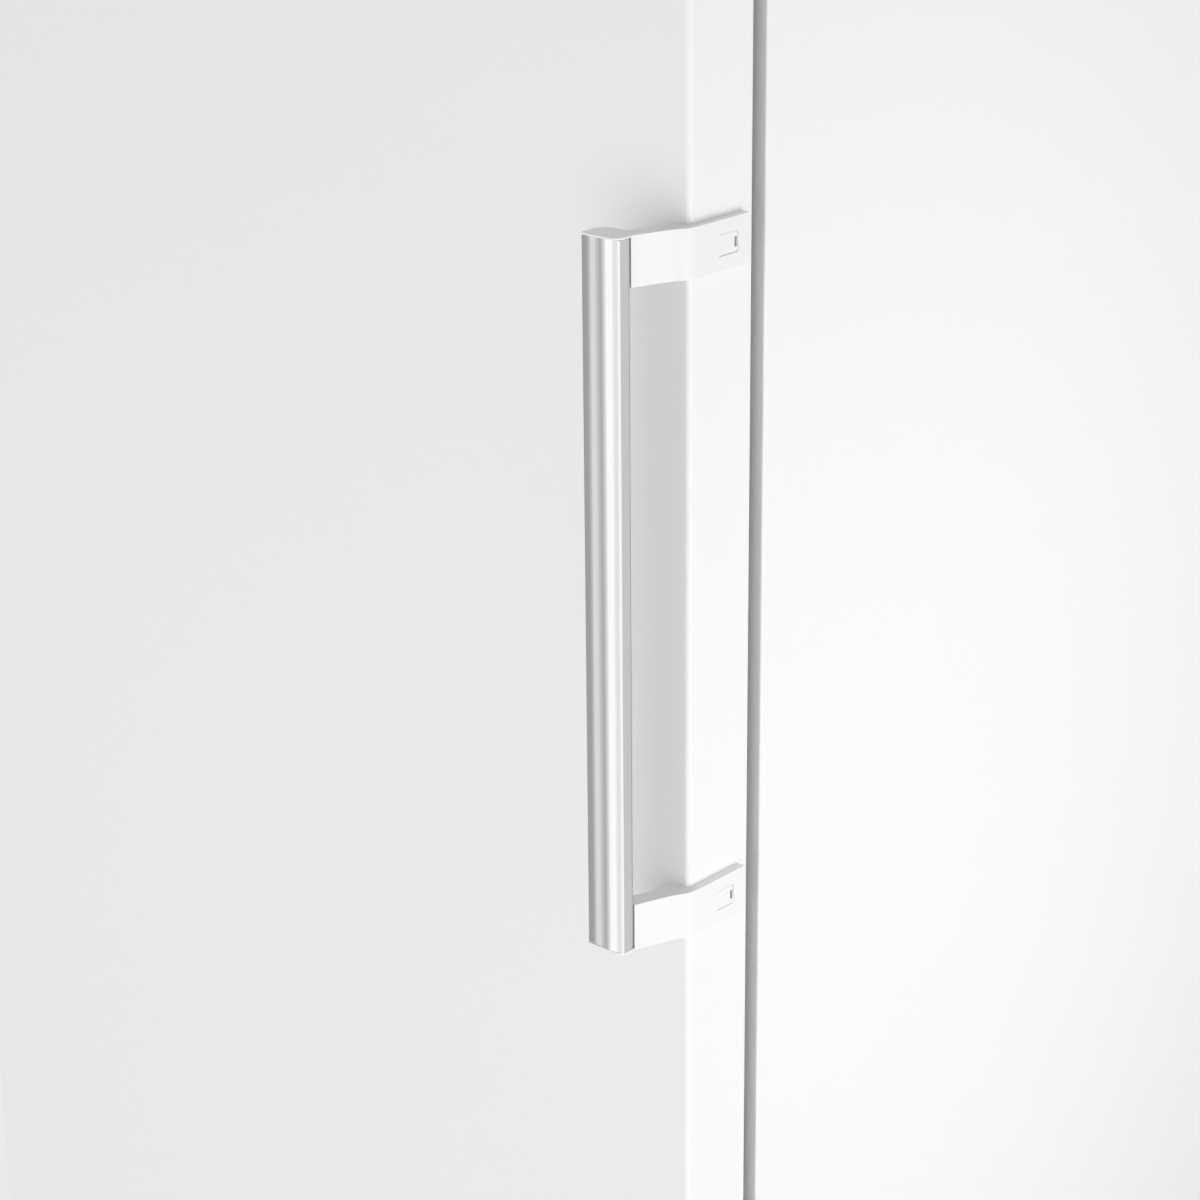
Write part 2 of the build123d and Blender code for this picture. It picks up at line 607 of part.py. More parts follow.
# Refrigerant lines in the niche: the filter drier with its capillary tube, and the suction line
DRIER_R = 10.0
DRIER_Z = (104.0, 196.0)
NECK_R = 3.0
NECK_L = 20.0
TAPER = 8.0
DRIER_BEND_R = 2.0
LINE_BEND_R = 12.0
with BuildPart() as refrigerant_lines:
    drier_plane = Plane(origin=(DRIER_X, DRIER_Y, 0), x_dir=(1, 0, 0), z_dir=(0, -1, 0))
    with BuildSketch(drier_plane):
        with BuildLine():
            FilletPolyline(
                (0, DRIER_Z[0] - NECK_L),
                (NECK_R, DRIER_Z[0] - NECK_L),
                (NECK_R, DRIER_Z[0] - TAPER),
                (DRIER_R, DRIER_Z[0]),
                (DRIER_R, DRIER_Z[1]),
                (NECK_R, DRIER_Z[1] + TAPER),
                (NECK_R, DRIER_Z[1] + NECK_L),
                (0, DRIER_Z[1] + NECK_L),
                radius=[0, *[DRIER_BEND_R] * 4, 0],
            )
            Line((0, DRIER_Z[1] + NECK_L), (0, DRIER_Z[0] - NECK_L))
        make_face()
    revolve(axis=Axis((DRIER_X, DRIER_Y, 0), (0, 0, 1)))
    with BuildLine():
        capillary_path = FilletPolyline(
            (DRIER_X, DRIER_Y, DRIER_Z[0] - NECK_L + THROUGH),
            (DRIER_X, DRIER_Y, DRIER_Z[0] - 2 * NECK_L),
            (CAPILLARY_X, DRIER_Y, DRIER_Z[0] - 2 * NECK_L),
            (CAPILLARY_X, DRIER_Y, NICHE_TOP + STEEL),
            radius=LINE_BEND_R,
        )
    with BuildSketch(Plane(origin=capillary_path @ 0, z_dir=capillary_path % 0)):
        Circle(CAPILLARY_R)
    sweep(path=capillary_path)
    with BuildLine():
        suction_path = FilletPolyline(
            (COMPRESSOR_X, COMPRESSOR_Y + SHELL_R + SLIP, SUCTION_PORT_Z),
            (COMPRESSOR_X, SUCTION_Y, SUCTION_PORT_Z),
            (SUCTION_X, SUCTION_Y, SUCTION_PORT_Z),
            (SUCTION_X, SUCTION_Y, NICHE_TOP + STEEL),
            radius=LINE_BEND_R,
        )
    with BuildSketch(Plane(origin=suction_path @ 0, z_dir=suction_path % 0)):
        Circle(LINE_R)
    sweep(path=suction_path)
refrigerant_lines.part.label = "refrigerant_lines"
export_step(refrigerant_lines.part, "parts/refrigerant_lines.step")

# Inlet for the mains cord, on the right side panel's back flange
INLET_X = (X_RIGHT - 38.0, X_RIGHT - 4.0)
INLET_Y = (Y_BACK - 26.0, Y_BACK - 2 * STEEL - GAP)
INLET_Z = (104.0, 148.0)
INLET_EDGE_R = 3.0
GLAND_X = X_RIGHT - 28.0
GLAND_Z = 126.0
GLAND_R = 8.0
GLAND_END = Y_BACK + 10.0
CORD_R = 4.2
CORD_DEPTH = 26.0
with BuildPart() as cord_inlet:
    slab(INLET_X, INLET_Y, INLET_Z)
    fillet(cord_inlet.faces().sort_by(Axis.Y)[0].edges(), radius=INLET_EDGE_R)
    rod((GLAND_X, GLAND_END, GLAND_Z), (0, -1, 0), GLAND_R, GLAND_END - INLET_Y[1] + THROUGH)
    rod((GLAND_X, GLAND_END, GLAND_Z), (0, -1, 0), CORD_R, CORD_DEPTH, mode=Mode.SUBTRACT)
cord_inlet.part.label = "cord_inlet"
export_step(cord_inlet.part, "parts/cord_inlet.step")

# Air duct cover on the room's back wall, with the evaporator plate and the fan behind it
DUCT_HALF = 120.0
DUCT_DEPTH = 48.0
DUCT_Z = (640.0, 1730.0)
DUCT_WALL = 2.0
DUCT_CORNER_R = 14.0
DUCT_EDGE_R = 4.0
VENT_HALF = 60.0
VENT_H = 5.0
VENT_RISES = (90.0, 102.0, 114.0)  # above each shelf
FAN_Z = 1640.0
FAN_R = 50.0
SHAFT_R = 2.0
SHAFT_L = 18.0
MOTOR_R = 26.0
MOTOR_L = 20.0
Y_DUCT = Y_ROOM_BACK - DUCT_DEPTH

with BuildPart() as air_duct_cover:
    slab((X_MID - DUCT_HALF, X_MID + DUCT_HALF), (Y_DUCT, Y_ROOM_BACK - SLIP), DUCT_Z)
    fillet(air_duct_cover.edges().filter_by(Axis.Y), radius=DUCT_CORNER_R)
    fillet(air_duct_cover.faces().sort_by(Axis.Y)[0].edges(), radius=DUCT_EDGE_R)
    offset(amount=-DUCT_WALL, openings=air_duct_cover.faces().sort_by(Axis.Y)[-1])
    vent_y = (Y_DUCT - THROUGH, Y_DUCT + DUCT_WALL + THROUGH)
    for level in [z + rise for z in SHELF_Z for rise in VENT_RISES]:
        slab((X_MID - VENT_HALF, X_MID + VENT_HALF), vent_y, (level, level + VENT_H), mode=Mode.SUBTRACT)
air_duct_cover.part.label = "air_duct_cover"
export_step(air_duct_cover.part, "parts/air_duct_cover.step")

EVAPORATOR_HALF = 108.0
EVAPORATOR_Y = (Y_ROOM_BACK - 8.0, Y_ROOM_BACK - 6.4)
EVAPORATOR_Z = (680.0, 1560.0)
with BuildPart() as evaporator_plate:
    slab((X_MID - EVAPORATOR_HALF, X_MID + EVAPORATOR_HALF), EVAPORATOR_Y, EVAPORATOR_Z)
evaporator_plate.part.label = "evaporator_plate"
export_step(evaporator_plate.part, "parts/evaporator_plate.step")

with BuildPart() as fan_motor:
    rod((X_MID, Y_ROOM_BACK - SLIP, FAN_Z), (0, -1, 0), MOTOR_R, MOTOR_L)
    rod((X_MID, Y_ROOM_BACK - MOTOR_L, FAN_Z), (0, -1, 0), SHAFT_R, SHAFT_L)
fan_motor.part.label = "fan_motor"
export_step(fan_motor.part, "parts/fan_motor.step")

BLADES = 5
BLADE_PITCH = 35.0
BLADE_CHORD = 22.0
BLADE_T = 1.6
HUB_R = 13.0
HUB_L = 16.0
Y_ROTOR = Y_ROOM_BACK - MOTOR_L - 3.0
with BuildPart() as fan_rotor:
    rod((X_MID, Y_ROTOR, FAN_Z), (0, -1, 0), HUB_R, HUB_L)
    for blade in range(BLADES):
        turn = 360 * blade / BLADES
        out = Vector(cos(radians(turn)), 0, sin(radians(turn)))
        along = Vector(-out.Z, 0, out.X)
        chord = along * cos(radians(BLADE_PITCH)) + Vector(0, sin(radians(BLADE_PITCH)), 0)
        root = Vector(X_MID, Y_ROTOR - HUB_L / 2, FAN_Z) + out * (HUB_R - THROUGH)
        with BuildSketch(Plane(origin=root, x_dir=chord, z_dir=out)):
            Rectangle(BLADE_CHORD, BLADE_T)
        extrude(amount=FAN_R - HUB_R)
    rod((X_MID, Y_ROTOR, FAN_Z), (0, -1, 0), SHAFT_R + SLIP, HUB_L, mode=Mode.SUBTRACT)
fan_rotor.part.label = "fan_rotor"
export_step(fan_rotor.part, "parts/fan_rotor.step")

# Lamp cover and control housing under the ceiling, with the thermostat knob
CONTROL_HALF = 110.0
CONTROL_Y = (Y_DOOR + 176.0, Y_DOOR + 266.0)
CONTROL_Z = ROOM_TOP - 38.0
CONTROL_EDGE_R = 6.0
KNOB_X = X_MID + 55.0
KNOB_Z = CONTROL_Z + 20.0
KNOB_R = 16.0
KNOB_H = 12.0
KNOB_EDGE_R = 1.5
KNOB_SHAFT_R = 3.0
KNOB_SHAFT_L = 13.0
with BuildPart() as control_housing:
    slab((X_MID - CONTROL_HALF, X_MID + CONTROL_HALF), CONTROL_Y, (CONTROL_Z, ROOM_TOP - SLIP))
    fillet(control_housing.edges().group_by(Axis.Z)[0], radius=CONTROL_EDGE_R)
    socket = (KNOB_X, CONTROL_Y[0], KNOB_Z)
    rod(socket, (0, 1, 0), KNOB_SHAFT_R + SLIP, KNOB_SHAFT_L + GAP, mode=Mode.SUBTRACT)
control_housing.part.label = "control_housing"
export_step(control_housing.part, "parts/control_housing.step")

LAMP_HALF = 70.0
LAMP_Y = (CONTROL_Y[1] + 2.0, CONTROL_Y[1] + 72.0)
LAMP_H = 14.0
LAMP_CORNER_R = 10.0
LAMP_EDGE_R = 4.0
with BuildPart() as lamp_cover:
    slab((X_MID - LAMP_HALF, X_MID + LAMP_HALF), LAMP_Y, (ROOM_TOP - LAMP_H, ROOM_TOP - SLIP))
    fillet(lamp_cover.edges().filter_by(Axis.Z), radius=LAMP_CORNER_R)
    fillet(lamp_cover.edges().group_by(Axis.Z)[0], radius=LAMP_EDGE_R)
lamp_cover.part.label = "lamp_cover"
export_step(lamp_cover.part, "parts/lamp_cover.step")

with BuildPart() as thermostat_knob:
    rod((KNOB_X, CONTROL_Y[0] - GAP, KNOB_Z), (0, -1, 0), KNOB_R, KNOB_H)
    fillet(thermostat_knob.edges().group_by(Axis.Y)[0], radius=KNOB_EDGE_R)
    rod((KNOB_X, CONTROL_Y[0] - GAP, KNOB_Z), (0, 1, 0), KNOB_SHAFT_R, KNOB_SHAFT_L)
thermostat_knob.part.label = "thermostat_knob"
export_step(thermostat_knob.part, "parts/thermostat_knob.step")

# Glass shelves on the liner's ledges, each with a front and a rear trim
SHELF_HALF = ROOM_HALF - 2.0
TRIM_D = 10.0
TRIM_H = 14.0
TRIM_RISE = 4.0
TRIM_EDGE_R = 3.0


def shelf_limits(top):
    """The front and the back of the shelf at that height."""
    if top == CRISPER_SHELF_Z:
        return CRISPER_FRONT + TRIM_D, Y_STEP - GAP
    return SHELF_FRONT + TRIM_D, Y_DUCT - TRIM_D - TRIM_RISE


for name, top in zip(("crisper", "1", "2", "3", "4"), (CRISPER_SHELF_Z, *SHELF_Z)):
    with BuildPart() as shelf:
        slab((X_MID - SHELF_HALF, X_MID + SHELF_HALF), shelf_limits(top), (top - SHELF_T, top))
    shelf.part.label = f"glass_shelf_{name}"
    export_step(shelf.part, f"parts/glass_shelf_{name}.step")

with BuildPart() as shelf_trims:
    for top in (CRISPER_SHELF_Z, *SHELF_Z):
        front, back = shelf_limits(top)
        half = SHELF_HALF if top == CRISPER_SHELF_Z else ROOM_HALF - LEDGE_W - INSET
        trim_x = (X_MID - half, X_MID + half)
        trim_z = (top - TRIM_H + TRIM_RISE, top + TRIM_RISE)
        slab(trim_x, (front - TRIM_D, front - SLIP), trim_z)
        if top != CRISPER_SHELF_Z:
            slab(trim_x, (back + SLIP, back + TRIM_D), trim_z)
    fillet(shelf_trims.edges().filter_by(Axis.X), radius=TRIM_EDGE_R)
shelf_trims.part.label = "shelf_trims"
export_step(shelf_trims.part, "parts/shelf_trims.step")

# Crisper drawers, side by side on the room's floor, each with a lip to pull
DRAWER_Y = (CRISPER_FRONT + 4.0, Y_STEP - 7.0)
DRAWER_WALL = 2.2
DRAWER_Z = (ROOM_Z + GAP, 294.0)
DRAWER_X = (2.0, ROOM_HALF - 5.0)
DRAWER_CORNER_R = 10.0
DRAWER_EDGE_R = 8.0
LIP_HALF = 60.0
LIP_D = 15.0
LIP_H = 3.0
for name, s in (("left", -1), ("right", 1)):
    limits = sorted(X_MID + s * x for x in DRAWER_X)
    middle = sum(limits) / 2
    with BuildPart() as drawer:
        slab(limits, DRAWER_Y, DRAWER_Z)
        fillet(drawer.edges().filter_by(Axis.Z), radius=DRAWER_CORNER_R)
        fillet(drawer.edges().group_by(Axis.Z)[0], radius=DRAWER_EDGE_R)
        offset(amount=-DRAWER_WALL, openings=drawer.faces().sort_by(Axis.Z)[-1])
        slab(
            (middle - LIP_HALF, middle + LIP_HALF),
            (DRAWER_Y[0] - INSET, DRAWER_Y[0] - INSET + LIP_D),
            (DRAWER_Z[1] - LIP_H, DRAWER_Z[1]),
        )
    drawer.part.label = f"crisper_drawer_{name}"
    export_step(drawer.part, f"parts/crisper_drawer_{name}.step")

# Adjustable front feet: a disc, a threaded stud and a lock nut
DISC_R = 19.0
DISC_H = 8.0
DISC_EDGE_R = 2.5
STUD_TOP = 39.0
LOCK_R = 9.5
LOCK_H = 6.3
for name, s in (("left", -1), ("right", 1)):
    with BuildPart() as foot:
        foot_x = X_MID + s * FOOT_X
        rod((foot_x, FOOT_Y, 0), (0, 0, 1), DISC_R, DISC_H)
        fillet(foot.edges().group_by(Axis.Z)[-1], radius=DISC_EDGE_R)
        chamfer(foot.edges().group_by(Axis.Z)[0], length=DISC_EDGE_R / 2)
        rod((foot_x, FOOT_Y, DISC_H - THROUGH), (0, 0, 1), STUD_R, STUD_TOP - DISC_H + THROUGH)
        with BuildSketch(Plane(origin=(foot_x, FOOT_Y, BASE_Z - GAP - LOCK_H))):
            RegularPolygon(LOCK_R, 6)
        extrude(amount=LOCK_H)
    foot.part.label = f"front_foot_{name}"
    export_step(foot.part, f"parts/front_foot_{name}.step")

# Rear rollers, each turned in one piece with its axle
ROLLER_EDGE_R = 1.5
AXLE_HALF = ROLLER_W / 2 + ROLLER_PLAY + EAR_T + 1.0
for name, s in (("left", -1), ("right", 1)):
    with BuildPart() as roller:
        middle = X_MID + s * ROLLER_X
        rod((middle - ROLLER_W / 2, ROLLER_Y, ROLLER_R), (1, 0, 0), ROLLER_R, ROLLER_W)
        fillet(roller.edges().filter_by(GeomType.CIRCLE), radius=ROLLER_EDGE_R)
        rod((middle - AXLE_HALF, ROLLER_Y, ROLLER_R), (1, 0, 0), AXLE_R, 2 * AXLE_HALF)
    roller.part.label = f"rear_roller_{name}"
    export_step(roller.part, f"parts/rear_roller_{name}.step")

# Door outer panel: one sheet bent round the front and both sides
CORNER_R = 3.0
REAR_CORNER_R = 1.5
DOOR_FLANGE = 14.0
SHEET_Z = (DOOR_Z + CAP_H, DOOR_TOP - CAP_H)
HANDLE_SCREW_R = 2.0
BRACKET_H = 25.2
HANDLE_BOTTOM = HANDLE_TOP - HANDLE_LENGTH
CAP_Y = (Y_DOOR + 16.7, Y_DOOR + 30.5)  # screw covers
CAP_TALL = 10.7
SCREW_Y = sum(CAP_Y) / 2
SCREW_LEVELS = (HANDLE_TOP - BRACKET_H / 2, HANDLE_BOTTOM + BRACKET_H / 2)

with BuildPart() as door_outer_panel:
    with BuildSketch(Plane.XY.offset(SHEET_Z[0])):
        with BuildLine():
            door_line = FilletPolyline(
                (X_LEFT + DOOR_FLANGE, Y_DOOR_BACK),
                (X_LEFT, Y_DOOR_BACK),
                (X_LEFT, Y_DOOR),
                (X_RIGHT, Y_DOOR),
                (X_RIGHT, Y_DOOR_BACK),
                (X_RIGHT - DOOR_FLANGE, Y_DOOR_BACK),
                radius=[REAR_CORNER_R, CORNER_R, CORNER_R, REAR_CORNER_R],
            )
            offset(door_line, amount=STEEL, side=Side.LEFT)
        make_face()
    extrude(amount=SHEET_Z[1] - SHEET_Z[0])
    for level in SCREW_LEVELS:
        outside = (X_RIGHT + THROUGH, SCREW_Y, level)
        rod(outside, (-1, 0, 0), HANDLE_SCREW_R + SLIP, STEEL + 2 * THROUGH, mode=Mode.SUBTRACT)
door_outer_panel.part.label = "door_outer_panel"
export_step(door_outer_panel.part, "parts/door_outer_panel.step")


# Door caps: a moulded tray at each end of the door, with the seat of a hinge bush
CAP_EDGE_R = 1.2
SEAT_BLOCK_X = X_LEFT + 30.0


def door_cap(low, outer_end):
    """A cap of the door's plan, open towards the door, with its bush seat."""
    inner_end = low + CAP_H if outer_end == low else low
    away = 1 if outer_end == low else -1
    with BuildPart() as cap:
        with BuildSketch(Plane.XY.offset(low)):
            with BuildLine():
                FilletPolyline(
                    (X_LEFT, Y_DOOR),
                    (X_RIGHT, Y_DOOR),
                    (X_RIGHT, Y_DOOR_BACK),
                    (X_LEFT, Y_DOOR_BACK),
                    close=True,
                    radius=[CORNER_R, CORNER_R, REAR_CORNER_R, REAR_CORNER_R],
                )
            make_face()
        extrude(amount=CAP_H)
        rim = cap.faces().sort_by(Axis.Z)[0 if outer_end == low else -1].edges()
        fillet(rim, radius=CAP_EDGE_R)
        slab(
            (SEAT_BLOCK_X, X_RIGHT - PLASTIC),
            (Y_DOOR + PLASTIC, Y_DOOR_BACK - PLASTIC),
            sorted((outer_end + away * PLASTIC, inner_end)),
            mode=Mode.SUBTRACT,
        )
        rod((X_PIN, Y_PIN, outer_end), (0, 0, away), BUSH_R + SLIP, CAP_H, mode=Mode.SUBTRACT)
    return cap.part


door_bottom_cap = door_cap(DOOR_Z, DOOR_Z)
door_bottom_cap.label = "door_bottom_cap"
export_step(door_bottom_cap, "parts/door_bottom_cap.step")

door_top_cap = door_cap(DOOR_TOP - CAP_H, DOOR_TOP)
door_top_cap.label = "door_top_cap"
export_step(door_top_cap, "parts/door_top_cap.step")

# Hinge bushes in the caps
RIM_R = 10.0
with BuildPart() as hinge_bushes:
    for end, away in ((DOOR_Z, 1), (DOOR_TOP, -1)):
        rod((X_PIN, Y_PIN, end), (0, 0, away), BUSH_R, CAP_H)
        rod((X_PIN, Y_PIN, end), (0, 0, -away), RIM_R, BUSH_RIM)
        outer = (X_PIN, Y_PIN, end - away * BUSH_RIM)
        rod(outer, (0, 0, away), PIN_R + SLIP, BUSH_RIM + CAP_H, mode=Mode.SUBTRACT)
hinge_bushes.part.label = "hinge_bushes"
export_step(hinge_bushes.part, "parts/hinge_bushes.step")

# Door inner liner: a sheet on the door's back, with an upright dike at each side that carries the bins
DIKE_DEPTH = 34.0
DIKE_X = (222.0, 240.0)
DIKE_Z = (335.0, 1770.0)
DIKE_R = 5.0
DIKE_CROWN = 6.0
DOOR_LINER_T = 1.2
DOOR_LINER_X = (X_LEFT + 7.0, X_RIGHT - 7.0)
DOOR_LINER_Z = (DOOR_Z + 8.0, DOOR_TOP - 8.0)
BIN_Z = {"door_bin_upper": 1215.0, "door_bin_lower": 880.0, "bottle_bin": 352.0, "dairy_bin": 1540.0}
LUG_W = 8.0
LUG_H = 12.0
LUG_RISE = 4.0
LUG_REACH = 5.0
Y_LUG = Y_DOOR_BACK + 22.0

with BuildPart() as door_inner_liner:
    slab(DOOR_LINER_X, (Y_DOOR_BACK, Y_DOOR_BACK + DOOR_LINER_T), DOOR_LINER_Z)
    for s in (-1, 1):
        dike = sorted(X_MID + s * x for x in DIKE_X)
        slab(dike, (Y_DOOR_BACK, Y_DOOR_BACK + DIKE_DEPTH), DIKE_Z)
    fillet(door_inner_liner.edges().filter_by(Axis.Z).group_by(Axis.Y)[-1], radius=DIKE_R)
    for s in (-1, 1):
        hollow = sorted(X_MID + s * x for x in (DIKE_X[0] + LINER_T, DIKE_X[1] - LINER_T))
        slab(
            hollow,
            (Y_DOOR_BACK - THROUGH, Y_DOOR_BACK + DIKE_DEPTH - DIKE_CROWN),
            (DIKE_Z[0] + LINER_T, DIKE_Z[1] - LINER_T),
            mode=Mode.SUBTRACT,
        )
        for level in BIN_Z.values():
            lug = sorted(X_MID + s * x for x in (DIKE_X[0] - LUG_REACH, DIKE_X[0] + LINER_T))
            low = level + LUG_RISE
            slab(lug, (Y_LUG - LUG_W / 2, Y_LUG + LUG_W / 2), (low, low + LUG_H))
door_inner_liner.part.label = "door_inner_liner"
export_step(door_inner_liner.part, "parts/door_inner_liner.step")

# Door foam, with room for the handle screws
SCREW_ROOM = 7.0  # half the height and width of the room round a screw
SCREW_ROOM_D = 14.0
FOAM_CLEAR = STEEL + SLIP
with BuildPart() as door_foam:
    with BuildSketch(Plane.XY.offset(SHEET_Z[0] + SLIP)):
        with BuildLine():
            FilletPolyline(
                (X_LEFT + FOAM_CLEAR, Y_DOOR + FOAM_CLEAR),
                (X_RIGHT - FOAM_CLEAR, Y_DOOR + FOAM_CLEAR),
                (X_RIGHT - FOAM_CLEAR, Y_DOOR_BACK - FOAM_CLEAR),
                (X_LEFT + FOAM_CLEAR, Y_DOOR_BACK - FOAM_CLEAR),
                close=True,
                radius=CORNER_R,
            )
        make_face()
    extrude(amount=SHEET_Z[1] - SHEET_Z[0] - 2 * SLIP)
    for level in SCREW_LEVELS:
        slab(
            (X_RIGHT - SCREW_ROOM_D, X_RIGHT),
            (SCREW_Y - SCREW_ROOM, SCREW_Y + SCREW_ROOM),
            (level - SCREW_ROOM, level + SCREW_ROOM),
            mode=Mode.SUBTRACT,
        )
door_foam.part.label = "door_foam"
export_step(door_foam.part, "parts/door_foam.step")

# Door gasket: a soft frame between the door liner and the cabinet's flanges
GASKET_INSET = 12.0
GASKET_W = 17.0
GASKET_Z = (92.0, 1818.0)
with BuildPart() as door_gasket:
    gasket_y = (Y_DOOR_BACK + DOOR_LINER_T, Y_CABINET - GAP)
    slab((X_LEFT + GASKET_INSET, X_RIGHT - GASKET_INSET), gasket_y, GASKET_Z)
    slab(
        (X_LEFT + GASKET_INSET + GASKET_W, X_RIGHT - GASKET_INSET - GASKET_W),
        gasket_y,
        (GASKET_Z[0] + GASKET_W, GASKET_Z[1] - GASKET_W),
        mode=Mode.SUBTRACT,
    )
door_gasket.part.label = "door_gasket"
export_step(door_gasket.part, "parts/door_gasket.step")


# Handle: a hollow bar of D section between two brackets that wrap round the door's edge
BAR_X = (X_RIGHT - 31.0, X_RIGHT - 7.5)
BAR_Y = (Y_DOOR - HANDLE_REACH, Y_DOOR - 27.0)
BAR_RADII = [2.0, 4.5, 6.3, 7.0]
BAR_WALL = 1.8
RIM = 1.0  # the bracket's cap over the end of the bar
TONGUE = 14.0


def bar_outline(grow=0.0):
    """The bar's section as closed lines, grown outwards by a clearance or shrunk by a wall."""
    FilletPolyline(
        (BAR_X[0] - grow, BAR_Y[0] - grow),
        (BAR_X[1] + grow, BAR_Y[0] - grow),
        (BAR_X[1] + grow, BAR_Y[1] + grow),
        (BAR_X[0] - grow, BAR_Y[1] + grow),
        close=True,
        radius=[max(r + grow, 0.5) for r in BAR_RADII],
    )


with BuildPart() as handle_bar:
    with BuildSketch(Plane.XY.offset(HANDLE_BOTTOM + RIM)):
        with BuildLine():
            bar_outline()
        make_face()
        with BuildLine():
            bar_outline(-BAR_WALL)
        make_face(mode=Mode.SUBTRACT)
    extrude(amount=HANDLE_LENGTH - 2 * RIM)
handle_bar.part.label = "handle_bar"
export_step(handle_bar.part, "parts/handle_bar.step")

# Upper handle bracket: cap and tongue in the bar, arm, and plate on the door's side
PLATE_END = Y_DOOR + 39.4
POCKET = 1.8
SCREW_SEAT_X = X_RIGHT + 1.5
SCREW_HEAD_R = 3.9
SCREW_LENGTH = 12.0
OUTER_BENDS = [0, 2.0, 24.0, 3.0, 8.0]
PLATE_END_R = 0.8
INNER_BENDS = [14.0, 20.0]
with BuildPart() as handle_bracket_upper:
    with BuildSketch(Plane.XY.offset(HANDLE_TOP - BRACKET_H)):
        with BuildLine():
            FilletPolyline(
                (BAR_X[1], Y_DOOR - 33.5),
                (BAR_X[1] + 0.3, Y_DOOR - 32.2),
                (X_RIGHT - 0.3, Y_DOOR - 12.4),
                (X_RIGHT + 4.5, Y_DOOR - 4.6),
                (X_RIGHT + PLATE_T, Y_DOOR + 6.0),
                (X_RIGHT + PLATE_T, PLATE_END),
                (X_RIGHT + SLIP, PLATE_END),
                (X_RIGHT + SLIP, Y_DOOR - SLIP),
                (X_RIGHT - 8.2, Y_DOOR - SLIP),
                (X_RIGHT - 11.0, Y_DOOR - 6.5),
                (X_RIGHT - 12.4, Y_DOOR - 17.0),
                (X_RIGHT - 17.5, Y_DOOR - 28.0),
                close=True,
                radius=[*OUTER_BENDS, PLATE_END_R, 0, CORNER_R, 0, *INNER_BENDS, 0],
            )
        make_face()
    extrude(amount=BRACKET_H)
    with BuildSketch(Plane.XY.offset(HANDLE_TOP - BRACKET_H)):
        with BuildLine():
            bar_outline(SLIP)
        make_face()
    extrude(amount=BRACKET_H - RIM, mode=Mode.SUBTRACT)
    with BuildSketch(Plane.XY.offset(HANDLE_TOP - RIM)):
        with BuildLine():
            bar_outline()
        make_face()
    extrude(amount=RIM)
    with BuildSketch(Plane.XY.offset(HANDLE_TOP - RIM - TONGUE)):
        with BuildLine():
            bar_outline(-BAR_WALL - SLIP)
        make_face()
    extrude(amount=TONGUE)
    level = SCREW_LEVELS[0]
    slab(
        (X_RIGHT + PLATE_T - POCKET, X_RIGHT + PLATE_T + THROUGH),
        CAP_Y,
        (level - CAP_TALL / 2, level + CAP_TALL / 2),
        mode=Mode.SUBTRACT,
    )
    rod((SCREW_SEAT_X, SCREW_Y, level), (1, 0, 0), SCREW_HEAD_R + GAP, PLATE_T, mode=Mode.SUBTRACT)
    rod((X_RIGHT, SCREW_Y, level), (1, 0, 0), HANDLE_SCREW_R + SLIP, PLATE_T, mode=Mode.SUBTRACT)
handle_bracket_upper.part.label = "handle_bracket_upper"
export_step(handle_bracket_upper.part, "parts/handle_bracket_upper.step")

with BuildPart() as handle_bracket_lower:
    middle_plane = Plane.XY.offset((HANDLE_TOP + HANDLE_BOTTOM) / 2)
    mirror(handle_bracket_upper.part, about=middle_plane)
handle_bracket_lower.part.label = "handle_bracket_lower"
export_step(handle_bracket_lower.part, "parts/handle_bracket_lower.step")

# Screw covers, flush in the plates, each with a pry slot near its rear edge
CAP_CLEAR = 0.15
PRY_Y = (Y_DOOR + 28.0, Y_DOOR + 29.6)
PRY_H = 5.0
PRY_D = 1.2
with BuildPart() as handle_screw_covers:
    for level in SCREW_LEVELS:
        slab(
            (X_RIGHT + PLATE_T - POCKET + SLIP, X_RIGHT + PLATE_T),
            (CAP_Y[0] + SLIP, CAP_Y[1] - CAP_CLEAR),
            (level - CAP_TALL / 2 + CAP_CLEAR, level + CAP_TALL / 2 - CAP_CLEAR),
        )
        slab(
            (X_RIGHT + PLATE_T - PRY_D, X_RIGHT + PLATE_T + THROUGH),
            PRY_Y,
            (level - PRY_H / 2, level + PRY_H / 2),
            mode=Mode.SUBTRACT,
        )
handle_screw_covers.part.label = "handle_screw_covers"
export_step(handle_screw_covers.part, "parts/handle_screw_covers.step")

with BuildPart() as handle_screws:
    for level in SCREW_LEVELS:
        seat = (SCREW_SEAT_X + SLIP, SCREW_Y, level)
        rod(seat, (-1, 0, 0), HANDLE_SCREW_R, SCREW_LENGTH)
        rod(seat, (1, 0, 0), SCREW_HEAD_R, PLATE_T - POCKET - (SCREW_SEAT_X - X_RIGHT) - 2 * SLIP)
handle_screws.part.label = "handle_screws"
export_step(handle_screws.part, "parts/handle_screws.step")

# Door bins: open trays that hang on the dikes' lugs, with a lower wall towards the door
BIN_HALF = DIKE_X[0] - 2.0
BIN_WALL = 2.4
BIN_CORNER_R = 16.0
BIN_EDGE_R = 3.0
Y_BIN = Y_DOOR_BACK + 3.0
DOORWARD_WALL_H = 30.0
BIN_SIZES = {
    "dairy_bin": (96.0, 58.0),
    "door_bin_upper": (98.0, 78.0),
    "door_bin_lower": (98.0, 78.0),
    "bottle_bin": (106.0, 108.0),
}
FLAP_PIN_R = 2.5
FLAP_Y = Y_BIN + 12.0
FLAP_Z = BIN_Z["dairy_bin"] + 66.0


